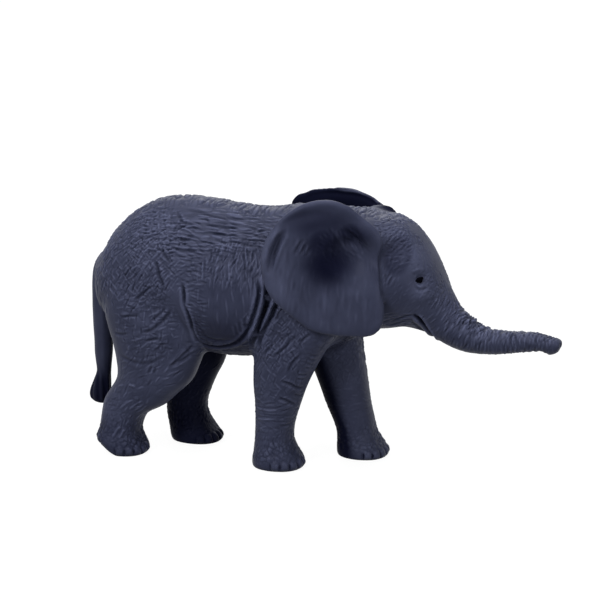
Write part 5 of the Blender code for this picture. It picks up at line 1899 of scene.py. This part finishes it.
@dataclass
class Eye:
    """A small painted eye, set under its lids.

    Args:
        side: Which side it is on.
        finish: Its enamel.
    """

    side: Side
    finish: EyeEnamel

    CENTRE = (21.3, -5.8, 39.12)
    SIZE = (0.86, 0.42, 0.72)  # half its length, depth and height
    OUT = (0.55, -0.83, 0.05)  # which way it looks
    TILT_DEG = -22.0
    WEDGE = 0.52  # how much shorter it gets towards its lower end
    LID = 0.62  # height of the half under the upper lid, as a share of the lower half's

    def build(self) -> None:
        """Makes the eye as a domed wedge with soft corners."""
        bm = bmesh.new()
        bmesh.ops.create_icosphere(bm, subdivisions=4, radius=1.0)
        for vert in bm.verts:
            x, y, z = vert.co
            wedge = 1 - self.WEDGE * max(-z, 0.0)
            vert.co = (x * wedge, y, z * (self.LID if z > 0 else 1.0))
        out = Vector(self.OUT).normalized()
        ahead = Vector((-out.y, out.x, 0)).normalized()
        up = out.cross(ahead)
        if up.z < 0:
            up = -up
        turn = Matrix((ahead, -out, up)).transposed().to_4x4()
        tilt = Matrix.Rotation(math.radians(self.TILT_DEG), 4, "Y")
        size = Matrix.Diagonal((*self.SIZE, 1))
        place = Matrix.Translation(Vector(self.CENTRE))
        bm.transform(Matrix.Scale(MM, 4) @ place @ turn @ tilt @ size)
        if self.side is Side.LEFT:
            bm.transform(Matrix.Diagonal((1, -1, 1, 1)))
        bmesh.ops.recalc_face_normals(bm, faces=bm.faces[:])
        name = self.side.name.lower() + "_eye"
        mesh = mesh_of(bm, name)
        mesh.shade_smooth()
        mesh.materials.append(self.finish.material(name + "_gloss_enamel"))
        piece = add_object(name, mesh)
        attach(piece, "root")
        LOG.info("%s: %d faces", name, len(mesh.polygons))


@dataclass
class Studio:
    """A plain white floor, soft lamps and the camera of the photograph."""

    aim: Point = (-4.0, 0.0, 31.5)
    azimuth: float = 18.5
    elevation: float = 15.3
    distance: float = 600.0
    field: float = 114.286  # millimetres across the picture at the aim
    glow: float = 0.94  # of the floor where the camera or a reflection sees it
    fill: float = 0.06  # level of the world everywhere else

    LAMPS = (  # name, place and aim in metres, length of a side in metres, power in watts
        ("top_softbox", (-0.02, -0.06, 0.55), (0, 0, 0.03), 0.3, 1.85),
        ("front_softbox", (-0.22, -0.5, 0.42), (0, 0, 0.03), 0.22, 2),
        ("side_softbox", (0.42, -0.36, 0.2), (0.01, 0, 0.03), 0.2, 0.85),
        ("back_softbox", (-0.2, 0.5, 0.35), (0, 0, 0.03), 0.3, 0.8),
    )

    def build(self) -> None:
        """Sets up floor, world, lamps and camera."""
        self.lay_floor()
        self.light_world()
        for lamp in self.LAMPS:
            self.hang_lamp(*lamp)
        self.place_camera()

    @staticmethod
    def backdrop(tree: bpy.types.NodeTree) -> bpy.types.NodeSocket:
        """What is 1 for rays that look straight, in a mirror or through glass at the backdrop.

        Args:
            tree: The material's or the world's nodes.

        Returns:
            The output that holds it.
        """
        rays = add_node(tree, "LightPath").outputs
        both = add_node(tree, "Math", {"operation": "MAXIMUM"},
                        {"0": rays["Is Camera Ray"], "1": rays["Is Glossy Ray"]})
        return add_node(tree, "Math", {"operation": "MAXIMUM"},
                        {"0": both.outputs[0], "1": rays["Is Transmission Ray"]}).outputs[0]

    def lay_floor(self) -> None:
        """Lays the white floor, which keeps the figure's shadow."""
        bm = bmesh.new()
        bmesh.ops.create_grid(bm, x_segments=1, y_segments=1, size=6.0)
        floor = add_object("floor", mesh_of(bm, "floor"))
        made = new_material("white_studio_floor")
        tree = made.node_tree
        glow = add_node(tree, "Math", {"operation": "MULTIPLY", "1": self.glow}, {"0": self.backdrop(tree)})
        values = {"Base Color": linear("#4A4A4A"), "Roughness": 0.9, "Emission Color": WHITE}
        shader = add_node(tree, "BsdfPrincipled", values, {"Emission Strength": glow.outputs[0]})
        add_node(tree, "OutputMaterial", links={"Surface": shader.outputs[0]})
        floor.data.materials.append(made)

    def light_world(self) -> None:
        """White where the camera or a reflection sees it, and a dim grey fill for everything else."""
        world = bpy.data.worlds.new("studio")
        world.use_nodes = True
        tree = world.node_tree
        tree.nodes.clear()
        level = add_node(tree, "MapRange", {"To Min": self.fill}, {"Value": self.backdrop(tree)})
        back = add_node(tree, "Background", {"Color": WHITE}, {"Strength": level.outputs[0]})
        add_node(tree, "OutputWorld", links={"Surface": back.outputs[0]})
        bpy.context.scene.world = world

    def hang_lamp(self, name: str, place: Point, aim: Point, size: float, power: float) -> None:
        """Hangs a square softbox.

        Args:
            name: Its name.
            place: Where it hangs, in metres.
            aim: Where it points, in metres.
            size: Length of its side in metres.
            power: In watts.
        """
        data = bpy.data.lights.new(name, "AREA")
        data.shape = "SQUARE"
        data.size = size
        data.energy = power
        lamp = add_object(name, data)
        lamp.location = place
        lamp.rotation_euler = (Vector(aim) - Vector(place)).to_track_quat("-Z", "Y").to_euler()

    def place_camera(self) -> None:
        """Puts the camera where the photograph was taken from."""
        turn, rise = math.radians(self.azimuth), math.radians(self.elevation)
        ahead = Vector((-math.sin(turn) * math.cos(rise), math.cos(turn) * math.cos(rise), -math.sin(rise)))
        data = bpy.data.cameras.new("camera")
        data.sensor_width = 36.0
        data.lens = data.sensor_width * self.distance / self.field
        data.clip_start, data.clip_end = 0.01, 20.0
        camera = add_object("camera", data)
        camera.location = (Vector(self.aim) - ahead * self.distance) * MM
        camera.rotation_euler = ahead.to_track_quat("-Z", "Y").to_euler()
        bpy.context.scene.camera = camera


def corners(box: tuple[Vector, Vector]) -> list[list[float]]:
    """Lowest and highest corner as plain lists."""
    return [list(corner) for corner in box]


def main() -> None:
    """Builds the figure and the studio."""
    logging.basicConfig(level=logging.INFO, format="%(message)s")
    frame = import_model()
    skin = Skin(frame["nodes"])
    vinyl = MouldedVinyl()
    mouldings: list[Moulding] = [
        Torso(skin, "torso", vinyl, tuple(Side)),
        Head(skin, "head", vinyl),
        Ear(skin, "right_ear", vinyl, side=Side.RIGHT),
        Ear(skin, "left_ear", vinyl, side=Side.LEFT),
        Leg(skin, "right_fore_leg", vinyl, side=Side.RIGHT, foot=(-6.4, -5.65), shank=(-7.0, 11.0), fore=True,
            own_lines=RIGHT_FORE_LOW_LINES),
        Leg(skin, "left_fore_leg", vinyl, side=Side.LEFT, foot=(6.9, 6.27), shank=(4.2, 11.0), fore=True,
            toe_in=0.65, foot_shade=0.05, inner_shade_and_paint=0.92, inner_wrap=-0.24),
        Leg(skin, "right_hind_leg", vinyl, side=Side.RIGHT, foot=(-37.9, -6.34), shank=(-35.5, 11.5),
            fore=False, lines=THIGH_LINES, own_lines=RIGHT_HIND_LOW_LINES, pushes=HIND_PUSHES,
            toe_in=0.75, heel_rise=2.0, foot_shade=0.36),
        Leg(skin, "left_hind_leg", vinyl, side=Side.LEFT, foot=(-26.9, 5.2), shank=(-29.0, 10.0), fore=False,
            toe_in=0.8, inner_relief=1.3, inner_shade_and_paint=0.83, inner_wrap=1.5),
        Tail(skin, "tail", vinyl),
    ]
    for moulding in mouldings:
        moulding.shape()
    skin.settle()
    for moulding in mouldings:
        moulding.sculpt()
    skin.note_relief()
    for moulding in mouldings:
        moulding.spray()
    skin.settle()
    skin.write_marks()
    for moulding in mouldings:
        moulding.build()
    skin.remove()
    for side in Side:
        Eye(side, EyeEnamel()).build()
    Studio().build()
    bpy.context.scene.view_settings.view_transform = "Standard"


if __name__ == "__main__":
    main()
